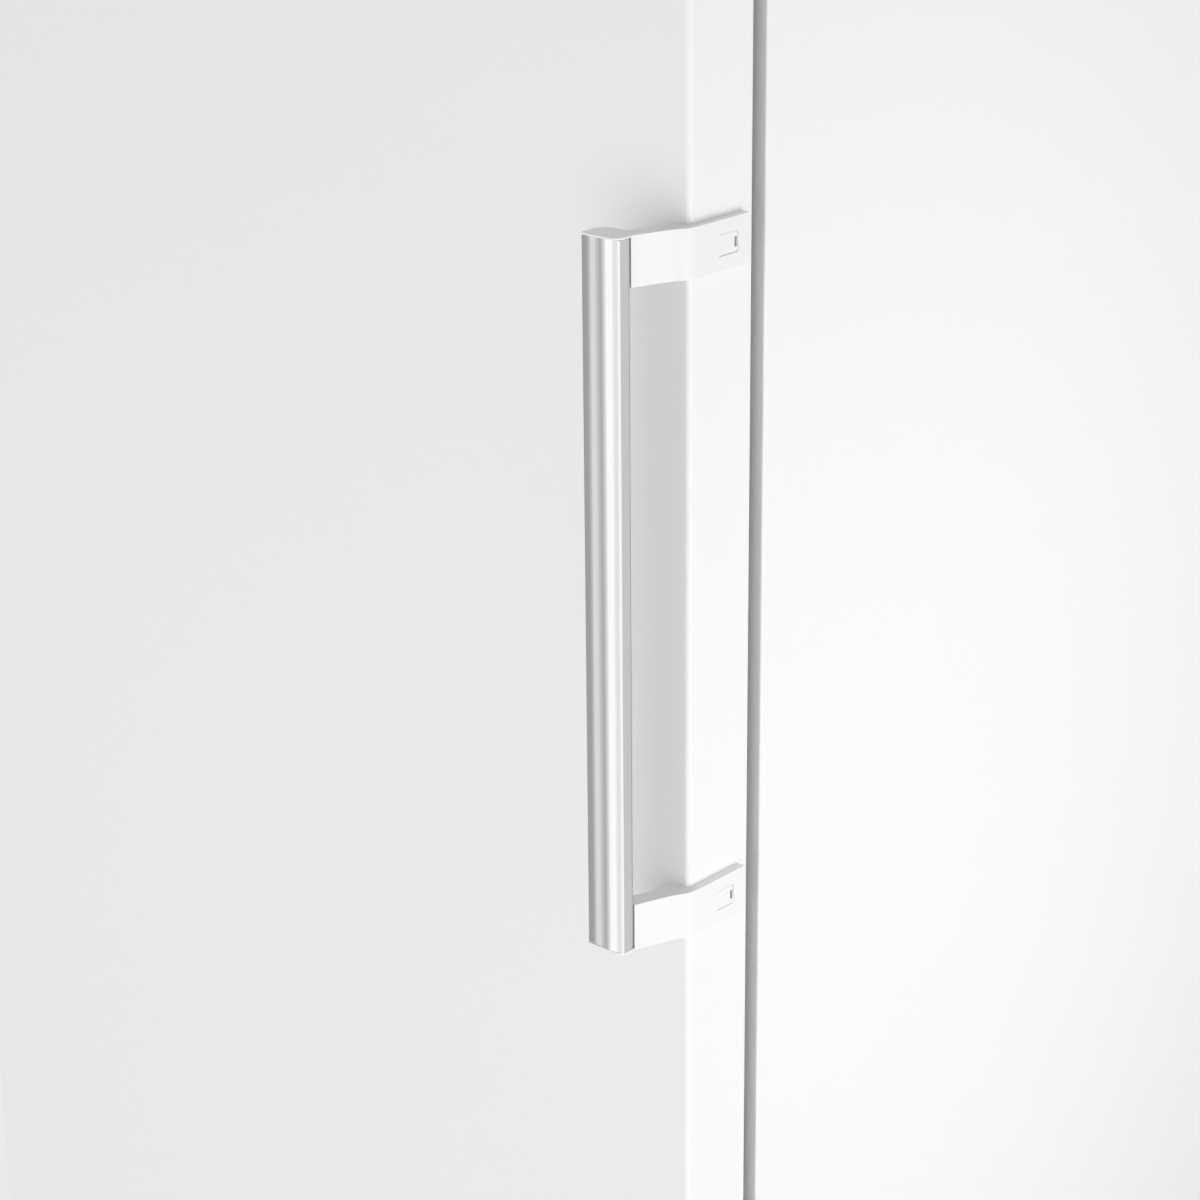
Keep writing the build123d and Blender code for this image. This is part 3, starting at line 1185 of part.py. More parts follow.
def door_bin(name):
    """A bin with rounded upright corners and a notch in each end that drops over its lug."""
    low = BIN_Z[name]
    depth, height = BIN_SIZES[name]
    with BuildPart() as tray:
        slab((X_MID - BIN_HALF, X_MID + BIN_HALF), (Y_BIN, Y_BIN + depth), (low, low + height))
        fillet(tray.edges().filter_by(Axis.Z).group_by(Axis.Y)[-1], radius=BIN_CORNER_R)
        fillet(tray.faces().sort_by(Axis.Z)[0].edges(), radius=BIN_EDGE_R)
        offset(amount=-BIN_WALL, openings=tray.faces().sort_by(Axis.Z)[-1])
        slab(
            (X_MID - BIN_HALF + BIN_CORNER_R, X_MID + BIN_HALF - BIN_CORNER_R),
            (Y_BIN - THROUGH, Y_BIN + BIN_WALL + THROUGH),
            (low + DOORWARD_WALL_H, low + height + THROUGH),
            mode=Mode.SUBTRACT,
        )
        for s in (-1, 1):
            wall = (BIN_HALF - BIN_WALL - THROUGH, BIN_HALF + THROUGH)
            slab(
                sorted(X_MID + s * x for x in wall),
                (Y_LUG - LUG_W / 2 - GAP, Y_LUG + LUG_W / 2 + GAP),
                (low - THROUGH, low + LUG_RISE + LUG_H + GAP),
                mode=Mode.SUBTRACT,
            )
    return tray.part


for name in ("door_bin_upper", "door_bin_lower", "bottle_bin"):
    with BuildPart() as plain_bin:
        add(door_bin(name))
    plain_bin.part.label = name
    export_step(plain_bin.part, f"parts/{name}.step")

CHEEK_D = 26.0
CHEEK_Z = (BIN_Z["dairy_bin"] + 50.0, FLAP_Z + 8.0)
with BuildPart() as dairy_bin:
    add(door_bin("dairy_bin"))
    for s in (-1, 1):
        cheek = sorted(X_MID + s * x for x in (BIN_HALF - BIN_WALL, BIN_HALF))
        slab(cheek, (Y_BIN, Y_BIN + CHEEK_D), CHEEK_Z)
    rod(
        (X_MID - BIN_HALF, FLAP_Y, FLAP_Z),
        (1, 0, 0),
        FLAP_PIN_R + SLIP,
        2 * BIN_HALF,
        mode=Mode.SUBTRACT,
    )
dairy_bin.part.label = "dairy_bin"
export_step(dairy_bin.part, "parts/dairy_bin.step")

# Dairy flap: a roof over the bin with a lip in front and a pin at each end
FLAP_HALF = BIN_HALF - BIN_WALL - 0.8
FLAP_T = 2.4
FLAP_RISE = 4.5
FLAP_BEND_R = 14.0
FLAP_LIP_Y = Y_BIN + 99.0
FLAP_LIP_Z = BIN_Z["dairy_bin"] + 34.0
FLAP_BARREL_R = 4.0
with BuildPart() as dairy_flap:
    with BuildSketch(Plane.YZ.offset(X_MID - FLAP_HALF)):
        with BuildLine():
            flap_line = FilletPolyline(
                (FLAP_Y - FLAP_BARREL_R, FLAP_Z + FLAP_RISE),
                (FLAP_LIP_Y, FLAP_Z + FLAP_RISE),
                (FLAP_LIP_Y, FLAP_LIP_Z),
                radius=FLAP_BEND_R,
            )
            offset(flap_line, amount=FLAP_T, side=Side.RIGHT)
        make_face()
    extrude(amount=2 * FLAP_HALF)
    rod((X_MID - FLAP_HALF, FLAP_Y, FLAP_Z), (1, 0, 0), FLAP_BARREL_R, 2 * FLAP_HALF)
    rod((X_MID - BIN_HALF, FLAP_Y, FLAP_Z), (1, 0, 0), FLAP_PIN_R, 2 * BIN_HALF)
dairy_flap.part.label = "dairy_flap"
export_step(dairy_flap.part, "parts/dairy_flap.step")

# Bottle retainer: a saddle on the bottle bin's front wall, with a finger into the bin
BOTTLE_TOP = BIN_Z["bottle_bin"] + BIN_SIZES["bottle_bin"][1]
Y_BOTTLE = Y_BIN + BIN_SIZES["bottle_bin"][0]
SADDLE_T = 2.4
SADDLE_X = (X_MID - 8.0, X_MID + 8.0)
SADDLE_H = 26.0
FINGER_T = 3.0
FINGER_REACH = 72.0
FINGER_Z = (BOTTLE_TOP - 24.0, BOTTLE_TOP - 4.0)
with BuildPart() as bottle_retainer:
    saddle_y = (Y_BOTTLE - BIN_WALL - GAP - SADDLE_T, Y_BOTTLE + GAP + SADDLE_T)
    slab(SADDLE_X, saddle_y, (BOTTLE_TOP - SADDLE_H, BOTTLE_TOP + GAP + SADDLE_T))
    slab(
        (SADDLE_X[0] - THROUGH, SADDLE_X[1] + THROUGH),
        (Y_BOTTLE - BIN_WALL - GAP, Y_BOTTLE + GAP),
        (BOTTLE_TOP - SADDLE_H - THROUGH, BOTTLE_TOP + GAP),
        mode=Mode.SUBTRACT,
    )
    finger_y = (Y_BOTTLE - FINGER_REACH, saddle_y[0] + THROUGH)
    slab((X_MID - FINGER_T / 2, X_MID + FINGER_T / 2), finger_y, FINGER_Z)
bottle_retainer.part.label = "bottle_retainer"
export_step(bottle_retainer.part, "parts/bottle_retainer.step")
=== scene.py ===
import bpy
import bmesh
import json
import math
from mathutils import Matrix, Vector

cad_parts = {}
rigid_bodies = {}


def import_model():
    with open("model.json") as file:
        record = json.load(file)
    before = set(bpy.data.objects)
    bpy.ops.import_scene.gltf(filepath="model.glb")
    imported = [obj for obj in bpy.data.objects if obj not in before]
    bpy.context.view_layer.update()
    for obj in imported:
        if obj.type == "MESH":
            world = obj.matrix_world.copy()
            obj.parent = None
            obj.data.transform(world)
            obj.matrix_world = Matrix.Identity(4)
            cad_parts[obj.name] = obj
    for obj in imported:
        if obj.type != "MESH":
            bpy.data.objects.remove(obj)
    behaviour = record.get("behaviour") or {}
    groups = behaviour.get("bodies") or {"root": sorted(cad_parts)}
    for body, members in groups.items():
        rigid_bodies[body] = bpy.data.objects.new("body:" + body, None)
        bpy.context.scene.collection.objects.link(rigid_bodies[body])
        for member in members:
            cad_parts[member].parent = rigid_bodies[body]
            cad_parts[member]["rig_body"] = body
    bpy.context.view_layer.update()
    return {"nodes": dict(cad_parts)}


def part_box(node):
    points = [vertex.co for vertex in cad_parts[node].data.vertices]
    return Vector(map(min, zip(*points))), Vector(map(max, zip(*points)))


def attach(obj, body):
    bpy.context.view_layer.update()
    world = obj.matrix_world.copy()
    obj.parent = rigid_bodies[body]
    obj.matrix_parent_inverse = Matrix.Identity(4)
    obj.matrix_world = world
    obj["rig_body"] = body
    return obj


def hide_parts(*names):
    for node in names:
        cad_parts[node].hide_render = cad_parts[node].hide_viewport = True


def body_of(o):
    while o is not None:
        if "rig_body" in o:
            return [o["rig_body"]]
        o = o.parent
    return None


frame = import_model()

MM = 0.001

# Camera: metres out from the door's right front edge at the handle's top, then its turn, tilt and roll
DOOR_LOW, DOOR_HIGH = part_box("door_outer_panel")
HANDLE_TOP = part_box("handle_bracket_upper")[1].z
CAMERA_ASIDE = 0.9328
CAMERA_IN_FRONT = 1.1134
CAMERA_ABOVE = 0.3504
CAMERA_AZIMUTH = math.radians(41.69)
CAMERA_PITCH = math.radians(20.385)
CAMERA_ROLL = math.radians(-0.519)
# Lens and sensor in millimetres, and the distances between which the camera sees, in metres
CAMERA_LENS = 93.92
SENSOR = 36.0
NEAREST = 0.05
FURTHEST = 100


def add_camera():
    """The camera of the photograph's view."""
    heading = Vector((-math.sin(CAMERA_AZIMUTH), math.cos(CAMERA_AZIMUTH), 0))
    aside = Vector((math.cos(CAMERA_AZIMUTH), math.sin(CAMERA_AZIMUTH), 0))
    level_up = Vector((0, 0, 1))
    ahead = heading * math.cos(CAMERA_PITCH) - level_up * math.sin(CAMERA_PITCH)
    up = heading * math.sin(CAMERA_PITCH) + level_up * math.cos(CAMERA_PITCH)
    right = aside * math.cos(CAMERA_ROLL) + up * math.sin(CAMERA_ROLL)
    top = up * math.cos(CAMERA_ROLL) - aside * math.sin(CAMERA_ROLL)
    data = bpy.data.cameras.new("photo_camera")
    data.lens = CAMERA_LENS
    data.sensor_width = SENSOR
    data.clip_start = NEAREST
    data.clip_end = FURTHEST
    camera = bpy.data.objects.new("photo_camera", data)
    bpy.context.scene.collection.objects.link(camera)
    camera.matrix_world = Matrix((right, top, -ahead)).transposed().to_4x4()
    camera.location = (
        DOOR_HIGH.x + CAMERA_ASIDE,
        DOOR_LOW.y - CAMERA_IN_FRONT,
        HANDLE_TOP + CAMERA_ABOVE,
    )
    bpy.context.scene.camera = camera


# Materials
class Wire:
    """A value, colour or vector on its way through a node tree. Arithmetic on it adds Math nodes."""

    def __init__(self, nodes, socket):
        self.nodes = nodes
        self.socket = socket

    def work_out(self, operation, *values):
        return self.nodes.work_out(operation, *values)

    def __add__(self, other):
        return self.work_out("ADD", self, other)

    def __radd__(self, other):
        return self.work_out("ADD", other, self)

    def __sub__(self, other):
        return self.work_out("SUBTRACT", self, other)

    def __rsub__(self, other):
        return self.work_out("SUBTRACT", other, self)

    def __mul__(self, other):
        return self.work_out("MULTIPLY", self, other)

    def __rmul__(self, other):
        return self.work_out("MULTIPLY", other, self)

    def __truediv__(self, other):
        return self.work_out("DIVIDE", self, other)

    def __pow__(self, other):
        return self.work_out("POWER", self, other)

    def most(self, other):
        return self.work_out("MAXIMUM", self, other)


class NodeSet:
    """The nodes of a material or of the world."""

    def __init__(self, tree):
        self.tree = tree

    def work_out(self, operation, *values):
        return self.node("ShaderNodeMath", {"operation": operation}, dict(enumerate(values)))

    def feed(self, value, socket):
        """Links a wire to a socket, or sets the socket's own value."""
        if isinstance(value, Wire):
            self.tree.links.new(value.socket, socket)
        elif socket.type == "RGBA" and not hasattr(value, "__len__"):
            socket.default_value = (value, value, value, 1)
        elif socket.type == "RGBA" and len(value) == 3:
            socket.default_value = (*value, 1)
        else:
            socket.default_value = value

    def node(self, kind, settings=None, inputs=None, output=0):
        """Adds a node: its settings first, then the values or links of its sockets."""
        node = self.tree.nodes.new(kind)
        for name, value in (settings or {}).items():
            if name == "stops":
                lay_stops(node.color_ramp, value)
            else:
                setattr(node, name, value)
        for name, value in (inputs or {}).items():
            self.feed(value, node.inputs[name])
        return Wire(self, node.outputs[output])

    def place(self):
        """Where a point of the piece is, in the piece's own coordinates."""
        return self.node("ShaderNodeTexCoord", output="Object")

    def stretched(self, scale):
        return self.node("ShaderNodeMapping", inputs={"Vector": self.place(), "Scale": scale})

    def axis(self, name, vector):
        return self.node("ShaderNodeSeparateXYZ", inputs={"Vector": vector}, output=name)

    def noise(self, scale, detail=2.0, stretch=None):
        vector = self.stretched(stretch) if stretch else self.place()
        inputs = {"Vector": vector, "Scale": scale, "Detail": detail}
        return self.node("ShaderNodeTexNoise", inputs=inputs)

    def cells(self, scale, output="Color"):
        inputs = {"Vector": self.place(), "Scale": scale}
        return self.node("ShaderNodeTexVoronoi", inputs=inputs, output=output)

    def spread(self, value, low, high, from_low=0.0, from_high=1.0):
        """A value taken from one range to another, and kept within it."""
        inputs = {"Value": value, 1: from_low, 2: from_high, 3: low, 4: high}
        return self.node("ShaderNodeMapRange", inputs=inputs)

    def blend(self, share, first, second):
        """A colour between two colours."""
        inputs = {0: share, 6: first, 7: second}
        return self.node("ShaderNodeMix", {"data_type": "RGBA"}, inputs, output=2)

    def grey(self, level):
        """A level as a colour."""
        return self.node("ShaderNodeCombineColor", inputs={0: level, 1: level, 2: level})


def lay_stops(ramp, stops):
    """Sets a ramp's stops, given as places and greys."""
    while len(ramp.elements) < len(stops):
        ramp.elements.new(0.5)
    for element, (place, grey) in zip(ramp.elements, stops):
        element.position = place
        element.color = (grey, grey, grey, 1)


class Finish(NodeSet):
    """A material: one Principled shader, and the nodes that vary it over a piece."""

    def __init__(self, name, **sockets):
        self.material = bpy.data.materials.new(name)
        self.material.use_nodes = True
        super().__init__(self.material.node_tree)
        self.shader = self.tree.nodes["Principled BSDF"]
        for socket, value in sockets.items():
            self.set(socket.replace("_", " "), value)

    def set(self, socket, value):
        self.feed(value, self.shader.inputs[socket])

    def bump(self, height, distance):
        """Raises the surface by a height from 0 to 1, times a distance in metres."""
        self.set("Normal", self.node("ShaderNodeBump", inputs={"Height": height, "Distance": distance}))


def painted_steel(name, grey):
    """Sheet steel under a baked coat, with the coat's faint waviness."""
    finish = Finish(name, IOR=1.5)
    clouds = finish.noise(2.2, detail=3)
    finish.set("Base Color", finish.blend(clouds, grey * 0.99, grey * 1.01))
    ripple = finish.noise(420, detail=1)
    finish.set("Roughness", finish.spread(ripple, 0.36, 0.42))
    finish.bump(ripple, 0.012 * MM)
    return finish.material


def moulded_plastic(name, colour, roughness, grain=1600):
    """A moulding with the fine spark-eroded grain of its mould."""
    finish = Finish(name, IOR=1.49)
    speck = finish.noise(grain)
    clouds = finish.noise(9)
    dark = tuple(part * 0.975 for part in colour)
    finish.set("Base Color", finish.blend(clouds, dark, colour))
    finish.set("Roughness", finish.spread(speck, roughness - 0.05, roughness + 0.07))
    finish.bump(speck, 0.012 * MM)
    return finish.material


def drawn_aluminium(name):
    """Extruded and anodised bar, with fine die lines along it."""
    finish = Finish(name, Metallic=1.0)
    lines = finish.noise(1.0, detail=4, stretch=(5200, 5200, 9))
    finish.set("Base Color", finish.blend(lines, 0.84, 0.9))
    finish.set("Roughness", finish.spread(lines, 0.17, 0.27, 0.25, 0.75))
    finish.bump(lines, 0.004 * MM)
    return finish.material


def galvanised_steel(name):
    """Zinc-coated sheet, with the flowers of its coat."""
    finish = Finish(name, Metallic=0.9)
    flowers = finish.cells(115)
    grey = finish.node("ShaderNodeRGBToBW", inputs={"Color": flowers})
    haze = finish.noise(30, detail=4)
    mixed = grey * 0.6 + haze * 0.4
    finish.set("Base Color", finish.blend(mixed, (0.42, 0.43, 0.44), (0.66, 0.67, 0.68)))
    finish.set("Roughness", finish.spread(mixed, 0.3, 0.5))
    finish.bump(grey, 0.01 * MM)
    return finish.material


def plated_steel(name):
    """Bright plated screws and pins, a little scuffed."""
    finish = Finish(name, Metallic=1.0)
    scuffs = finish.noise(900, detail=3, stretch=(1, 1, 0.3))
    finish.set("Base Color", finish.blend(scuffs, 0.55, 0.72))
    finish.set("Roughness", finish.spread(scuffs, 0.22, 0.42))
    finish.bump(scuffs, 0.006 * MM)
    return finish.material


def black_lacquer(name):
    """Stoving lacquer on the compressor and condenser, with a little dust on what faces up."""
    finish = Finish(name, IOR=1.5)
    haze = finish.noise(26, detail=5)
    facing_up = finish.axis("Z", finish.node("ShaderNodeNewGeometry", output="Normal"))
    dust = (facing_up.most(0.0) ** 2.0) * haze * 0.5
    finish.set("Base Color", finish.blend(dust, 0.012, 0.16))
    finish.set("Roughness", finish.spread(dust + haze * 0.3, 0.3, 0.62))
    finish.bump(finish.noise(700), 0.012 * MM)
    return finish.material


def drawn_copper(name):
    """Soft copper tube, darkened in patches."""
    finish = Finish(name, Metallic=1.0)
    patches = finish.noise(38, detail=5)
    finish.set("Base Color", finish.blend(patches, (0.46, 0.2, 0.11), (0.83, 0.45, 0.3)))
    finish.set("Roughness", finish.spread(patches, 0.5, 0.24))
    finish.bump(finish.noise(1100), 0.006 * MM)
    return finish.material


def soft_rubber(name, colour, roughness=0.62):
    """Rubber or soft vinyl, matt and a little uneven."""
    finish = Finish(name, IOR=1.5)
    haze = finish.noise(45, detail=4)
    dark = tuple(part * 0.86 for part in colour)
    finish.set("Base Color", finish.blend(haze, dark, colour))
    finish.set("Roughness", finish.spread(haze, roughness - 0.06, roughness + 0.1))
    finish.bump(finish.noise(1300, detail=3), 0.015 * MM)
    return finish.material


def clear_moulding(name, colour, roughness, haze_roughness):
    """Clear polystyrene, with faint flow haze."""
    finish = Finish(name, IOR=1.57, Transmission_Weight=0.92)
    haze = finish.noise(14, detail=3)
    dark = tuple(part * 0.96 for part in colour)
    finish.set("Base Color", finish.blend(haze, dark, colour))
    finish.set("Roughness", finish.spread(haze, roughness, haze_roughness))
    return finish.material


def float_glass(name):
    """Toughened glass, a little green."""
    finish = Finish(name, IOR=1.52, Transmission_Weight=0.96)
    waves = finish.noise(3, detail=1)
    finish.set("Base Color", finish.blend(waves, (0.84, 0.93, 0.89), (0.88, 0.95, 0.92)))
    finish.set("Roughness", finish.spread(waves, 0.01, 0.03))
    return finish.material


def opal_plastic(name):
    """Milky lamp cover with fine prisms."""
    finish = Finish(name, IOR=1.5, Transmission_Weight=0.5)
    ribs = finish.node("ShaderNodeTexWave", inputs={"Vector": finish.place(), "Scale": 60.0})
    finish.set("Base Color", finish.blend(ribs, 0.86, 0.92))
    finish.set("Roughness", finish.spread(ribs, 0.25, 0.4))
    finish.bump(ribs, 0.15 * MM)
    return finish.material


def rolled_aluminium(name):
    """Evaporator plate, with its rolling lines and a white bloom."""
    finish = Finish(name, Metallic=0.85)
    lines = finish.noise(1.0, detail=3, stretch=(900, 900, 12))
    bloom = finish.noise(20, detail=4)
    finish.set("Base Color", finish.blend(bloom, 0.55, 0.76))
    finish.set("Roughness", finish.spread(lines, 0.3, 0.48))
    finish.bump(lines, 0.01 * MM)
    return finish.material


def rigid_foam(name):
    """Polyurethane foam."""
    finish = Finish(name)
    pores = finish.cells(600, output="Distance")
    finish.set("Base Color", finish.blend(pores, (0.62, 0.5, 0.27), (0.8, 0.7, 0.45)))
    finish.set("Roughness", 0.9)
    finish.bump(pores, 0.2 * MM)
    return finish.material


finishes = {
    "white_steel": painted_steel("white_steel_finish", 0.84),
    "white_plastic": moulded_plastic("white_plastic_finish", (0.83, 0.83, 0.83), 0.36),
    "liner_plastic": moulded_plastic("liner_plastic_finish", (0.86, 0.865, 0.87), 0.28, 700),
    "bar_aluminium": drawn_aluminium("bar_aluminium_finish"),
    "zinc_steel": galvanised_steel("zinc_steel_finish"),
    "screw_steel": plated_steel("screw_steel_finish"),
    "black_steel": black_lacquer("black_steel_finish"),
    "copper": drawn_copper("copper_finish"),
    # The seal's dark grey is partly its own colour and partly painted shade: it is kept this dark so that
    # the narrow gap between the door and the cabinet reads as deep shade.
    "seal_rubber": soft_rubber("seal_rubber_finish", (0.13, 0.13, 0.13), 0.5),
    "black_rubber": soft_rubber("black_rubber_finish", (0.025, 0.025, 0.026)),
    "black_plastic": moulded_plastic("black_plastic_finish", (0.03, 0.03, 0.032), 0.45, 1400),
    "grey_plastic": moulded_plastic("grey_plastic_finish", (0.4, 0.41, 0.42), 0.4, 1400),
    "shelf_glass": float_glass("shelf_glass_finish"),
    "clear_plastic": clear_moulding("clear_plastic_finish", (0.9, 0.93, 0.95), 0.04, 0.12),
    "lamp_plastic": opal_plastic("lamp_plastic_finish"),
    "evaporator_aluminium": rolled_aluminium("evaporator_aluminium_finish"),
    "foam": rigid_foam("foam_finish"),
}
for piece in frame["nodes"].values():
    for place in piece.material_slots:
        place.material = finishes[place.material.name]


# Modelling
# Points closer than this are the same place, and in a CAD mesh the same point
NEAR = 0.01 * MM
SAME = 0.002 * MM
# Degrees: edges that turn more than SHARP are rounded, faces that turn less than FLAT become one
SHARP = 38
FLAT = 0.5
EDGE_STEPS = 3
# A face looks along an axis if its normal reaches this far along it
LOOKING = 0.9


def begin(name, add, **where):
    """Adds a primitive on its own and opens it for editing."""
    bpy.ops.object.select_all(action="DESELECT")
    add(**where)
    piece = bpy.context.object
    piece.name = name
    piece.data.name = name
    bpy.ops.object.mode_set(mode="EDIT")
    bpy.ops.mesh.select_mode(type="VERT")
    bpy.ops.mesh.select_all(action="SELECT")
    return piece


def pick(kind, test):
    """Selects only the points, edges or faces that pass a test."""
    bpy.ops.mesh.select_mode(type=kind)
    bpy.ops.mesh.select_all(action="DESELECT")
    mesh = bmesh.from_edit_mesh(bpy.context.object.data)
    for part in {"VERT": mesh.verts, "EDGE": mesh.edges, "FACE": mesh.faces}[kind]:
        part.select_set(bool(test(part)))
    bmesh.update_edit_mesh(bpy.context.object.data)


def draw_outline(name, points, radii=(), steps=6):
    """Opens a new piece with a flat face drawn from corner to corner, its corners rounded."""
    piece = begin(name, bpy.ops.mesh.primitive_plane_add, size=MM, location=(0, 0, 0))
    points = [Vector(point) for point in points]
    bpy.ops.mesh.merge(type="CENTER")
    bpy.ops.transform.translate(value=points[0])
    for start, end in zip(points, points[1:]):
        bpy.ops.mesh.extrude_region_move(TRANSFORM_OT_translate={"value": end - start})
    bpy.ops.mesh.select_all(action="SELECT")
    bpy.ops.mesh.edge_face_add()
    for number, radius in enumerate(radii):
        corner = points[number]
        before = corner - points[number - 1]
        after = points[(number + 1) % len(points)] - corner
        reach = radius * math.tan(before.angle(after) / 2)
        if reach:
            pick("VERT", lambda point: (point.co - corner).length < NEAR)
            bpy.ops.mesh.bevel(offset=reach, offset_type="ABSOLUTE", segments=steps, affect="VERTICES")
    return piece


def rectangle(low, high):
    """The corners of a rectangle between two opposite ones, in order round it."""
    return [low, (high[0], low[1]), high, (low[0], high[1])]


def extrude_all(step):
    bpy.ops.mesh.select_all(action="SELECT")
    bpy.ops.mesh.extrude_region_move(TRANSFORM_OT_translate={"value": step})


def close_piece(piece, body, slot, replaced=(), angle=35):
    """Ends a piece: its faces point outwards, it has its finish and it rides on its body."""
    bpy.ops.mesh.select_all(action="SELECT")
    bpy.ops.mesh.normals_make_consistent(inside=False)
    bpy.ops.object.mode_set(mode="OBJECT")
    bpy.ops.object.transform_apply(location=True, rotation=True, scale=True)
    bpy.ops.object.shade_smooth_by_angle(angle=math.radians(angle))
    shade = piece.modifiers.new("flat_faces_stay_flat", "WEIGHTED_NORMAL")
    shade.keep_sharp = True
    bpy.ops.object.modifier_apply(modifier=shade.name)
    piece.data.materials.append(finishes[slot])
    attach(piece, body)
    for node in replaced:
        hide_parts(node)


def cut(piece, operation, other):
    """Joins another closed piece to this one, or cuts it away, and uses it up."""
    bpy.ops.object.select_all(action="DESELECT")
    bpy.context.view_layer.objects.active = piece
    change = piece.modifiers.new(operation, "BOOLEAN")
    change.operation = operation
    change.object = other
    change.solver = "EXACT"
    bpy.ops.object.modifier_apply(modifier=change.name)
    bpy.data.objects.remove(other)


def soften_edges(piece, width):
    """Rounds the piece's sharp edges."""
    bpy.ops.object.select_all(action="DESELECT")
    bpy.context.view_layer.objects.active = piece
    change = piece.modifiers.new("soft_edges", "BEVEL")
    change.width = width
    change.segments = EDGE_STEPS
    change.limit_method = "ANGLE"
    change.angle_limit = math.radians(SHARP)
    change.miter_outer = "MITER_ARC"
    bpy.ops.object.modifier_apply(modifier=change.name)


def leave_editing():
    bpy.ops.mesh.select_all(action="SELECT")
    bpy.ops.mesh.normals_make_consistent(inside=False)
    bpy.ops.object.mode_set(mode="OBJECT")


def block(name, low, high):
    """A plain block between two corners, to cut with or to shape further."""
    size = Vector(high) - Vector(low)
    middle = (Vector(high) + Vector(low)) / 2
    piece = begin(name, bpy.ops.mesh.primitive_cube_add, size=1, location=middle)
    bpy.ops.object.mode_set(mode="OBJECT")
    piece.scale = size
    bpy.ops.object.transform_apply(location=True, rotation=True, scale=True)
    return piece


def rework(node, name, width):
    """Takes a copy of a CAD piece, merges its mesh, rounds its sharp edges and puts it in its place.

    Flat regions become one face each, apart from those with many openings, which turn to quads.
    """
    source = frame["nodes"][node]
    piece = bpy.data.objects.new(name, source.data.copy())
    piece.data.name = name
    bpy.context.scene.collection.objects.link(piece)
    slot = source.material_slots[0].material.name.removesuffix("_finish")
    piece.data.materials.clear()
    bpy.ops.object.select_all(action="DESELECT")
    piece.select_set(True)
    bpy.context.view_layer.objects.active = piece
    bpy.ops.mesh.customdata_custom_splitnormals_clear()
    bpy.ops.object.mode_set(mode="EDIT")
    bpy.ops.mesh.select_all(action="SELECT")
    bpy.ops.mesh.remove_doubles(threshold=SAME)
    if node in PIERCED:
        bpy.ops.mesh.tris_convert_to_quads()
    else:
        bpy.ops.mesh.dissolve_limited(angle_limit=math.radians(FLAT), use_dissolve_boundaries=False)
    bpy.ops.object.mode_set(mode="OBJECT")
    soften_edges(piece, width * MM)
    bpy.ops.object.mode_set(mode="EDIT")
    close_piece(piece, body_of(source)[0], slot, [node], SHARP)


# The door's sides and front, and the bar's box, in metres
X_LEFT, X_RIGHT = DOOR_LOW.x, DOOR_HIGH.x
Y_DOOR = DOOR_LOW.y
BAR_LOW, BAR_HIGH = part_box("handle_bar")
# Handle, in millimetres: the corners of a bracket's cap, the cap's thickness, the bracket's height and edges
BAR_RADII = [2.0, 4.5, 6.3, 7.0]
RIM = 1.0
BRACKET_TALL = 25.2
BRACKET_EDGE = 0.25
# The plate on the door's side, the pocket in it, and the cover that fills the pocket over its foot
PLATE = 5.0
POCKET_Y = (16.7, 30.5)
POCKET_TALL = 10.7
POCKET_FLOOR = 1.0
POCKET_CORNER = 1.5
COVER_Y = (16.72, 30.12)
COVER_TALL = 10.24
COVER_THICK = 1.1
COVER_CORNER = 1.3
COVER_RAISED = 0.1
FOOT_X = (1.02, 4.5)
FOOT_Y = (17.2, 19.2)
SLOT_Y = (27.8, 29.6)
SLOT_TALL = 5.0
# A block that cuts an opening ends this far past the face
PAST = 1.0


def at_corner(x, y, z):
    """A place in millimetres from the door's right front edge, at height z in metres."""
    return X_RIGHT + x * MM, Y_DOOR + y * MM, z


def add_handle_bar():
    """An extrusion with a raised line along its front, and a crease at its outer edge."""
    section = [
        (-0.3, 1.6), (5.0, 0.57), (10.5, 0.57), (14.8, 0), (19.9, 0.45), (22.3, 1.25), (23.5, 2.0),
        (23.5, 7.7), (23.5, 9.0), (19.2, 13.0), (13.0, 16.5), (-0.3, 16.5),
    ]
    radii = [0.4, 14, 25, 15, 10, 5, 0.15, 0, 2, 6, 6, 6]
    corners = [(BAR_LOW.x + x * MM, BAR_LOW.y + y * MM, BAR_LOW.z) for x, y in section]
    piece = draw_outline("handle_bar_extrusion", corners, [radius * MM for radius in radii])
    extrude_all((0, 0, BAR_HIGH.z - BAR_LOW.z))
    close_piece(piece, "door", "bar_aluminium", ["handle_bar"], 32)


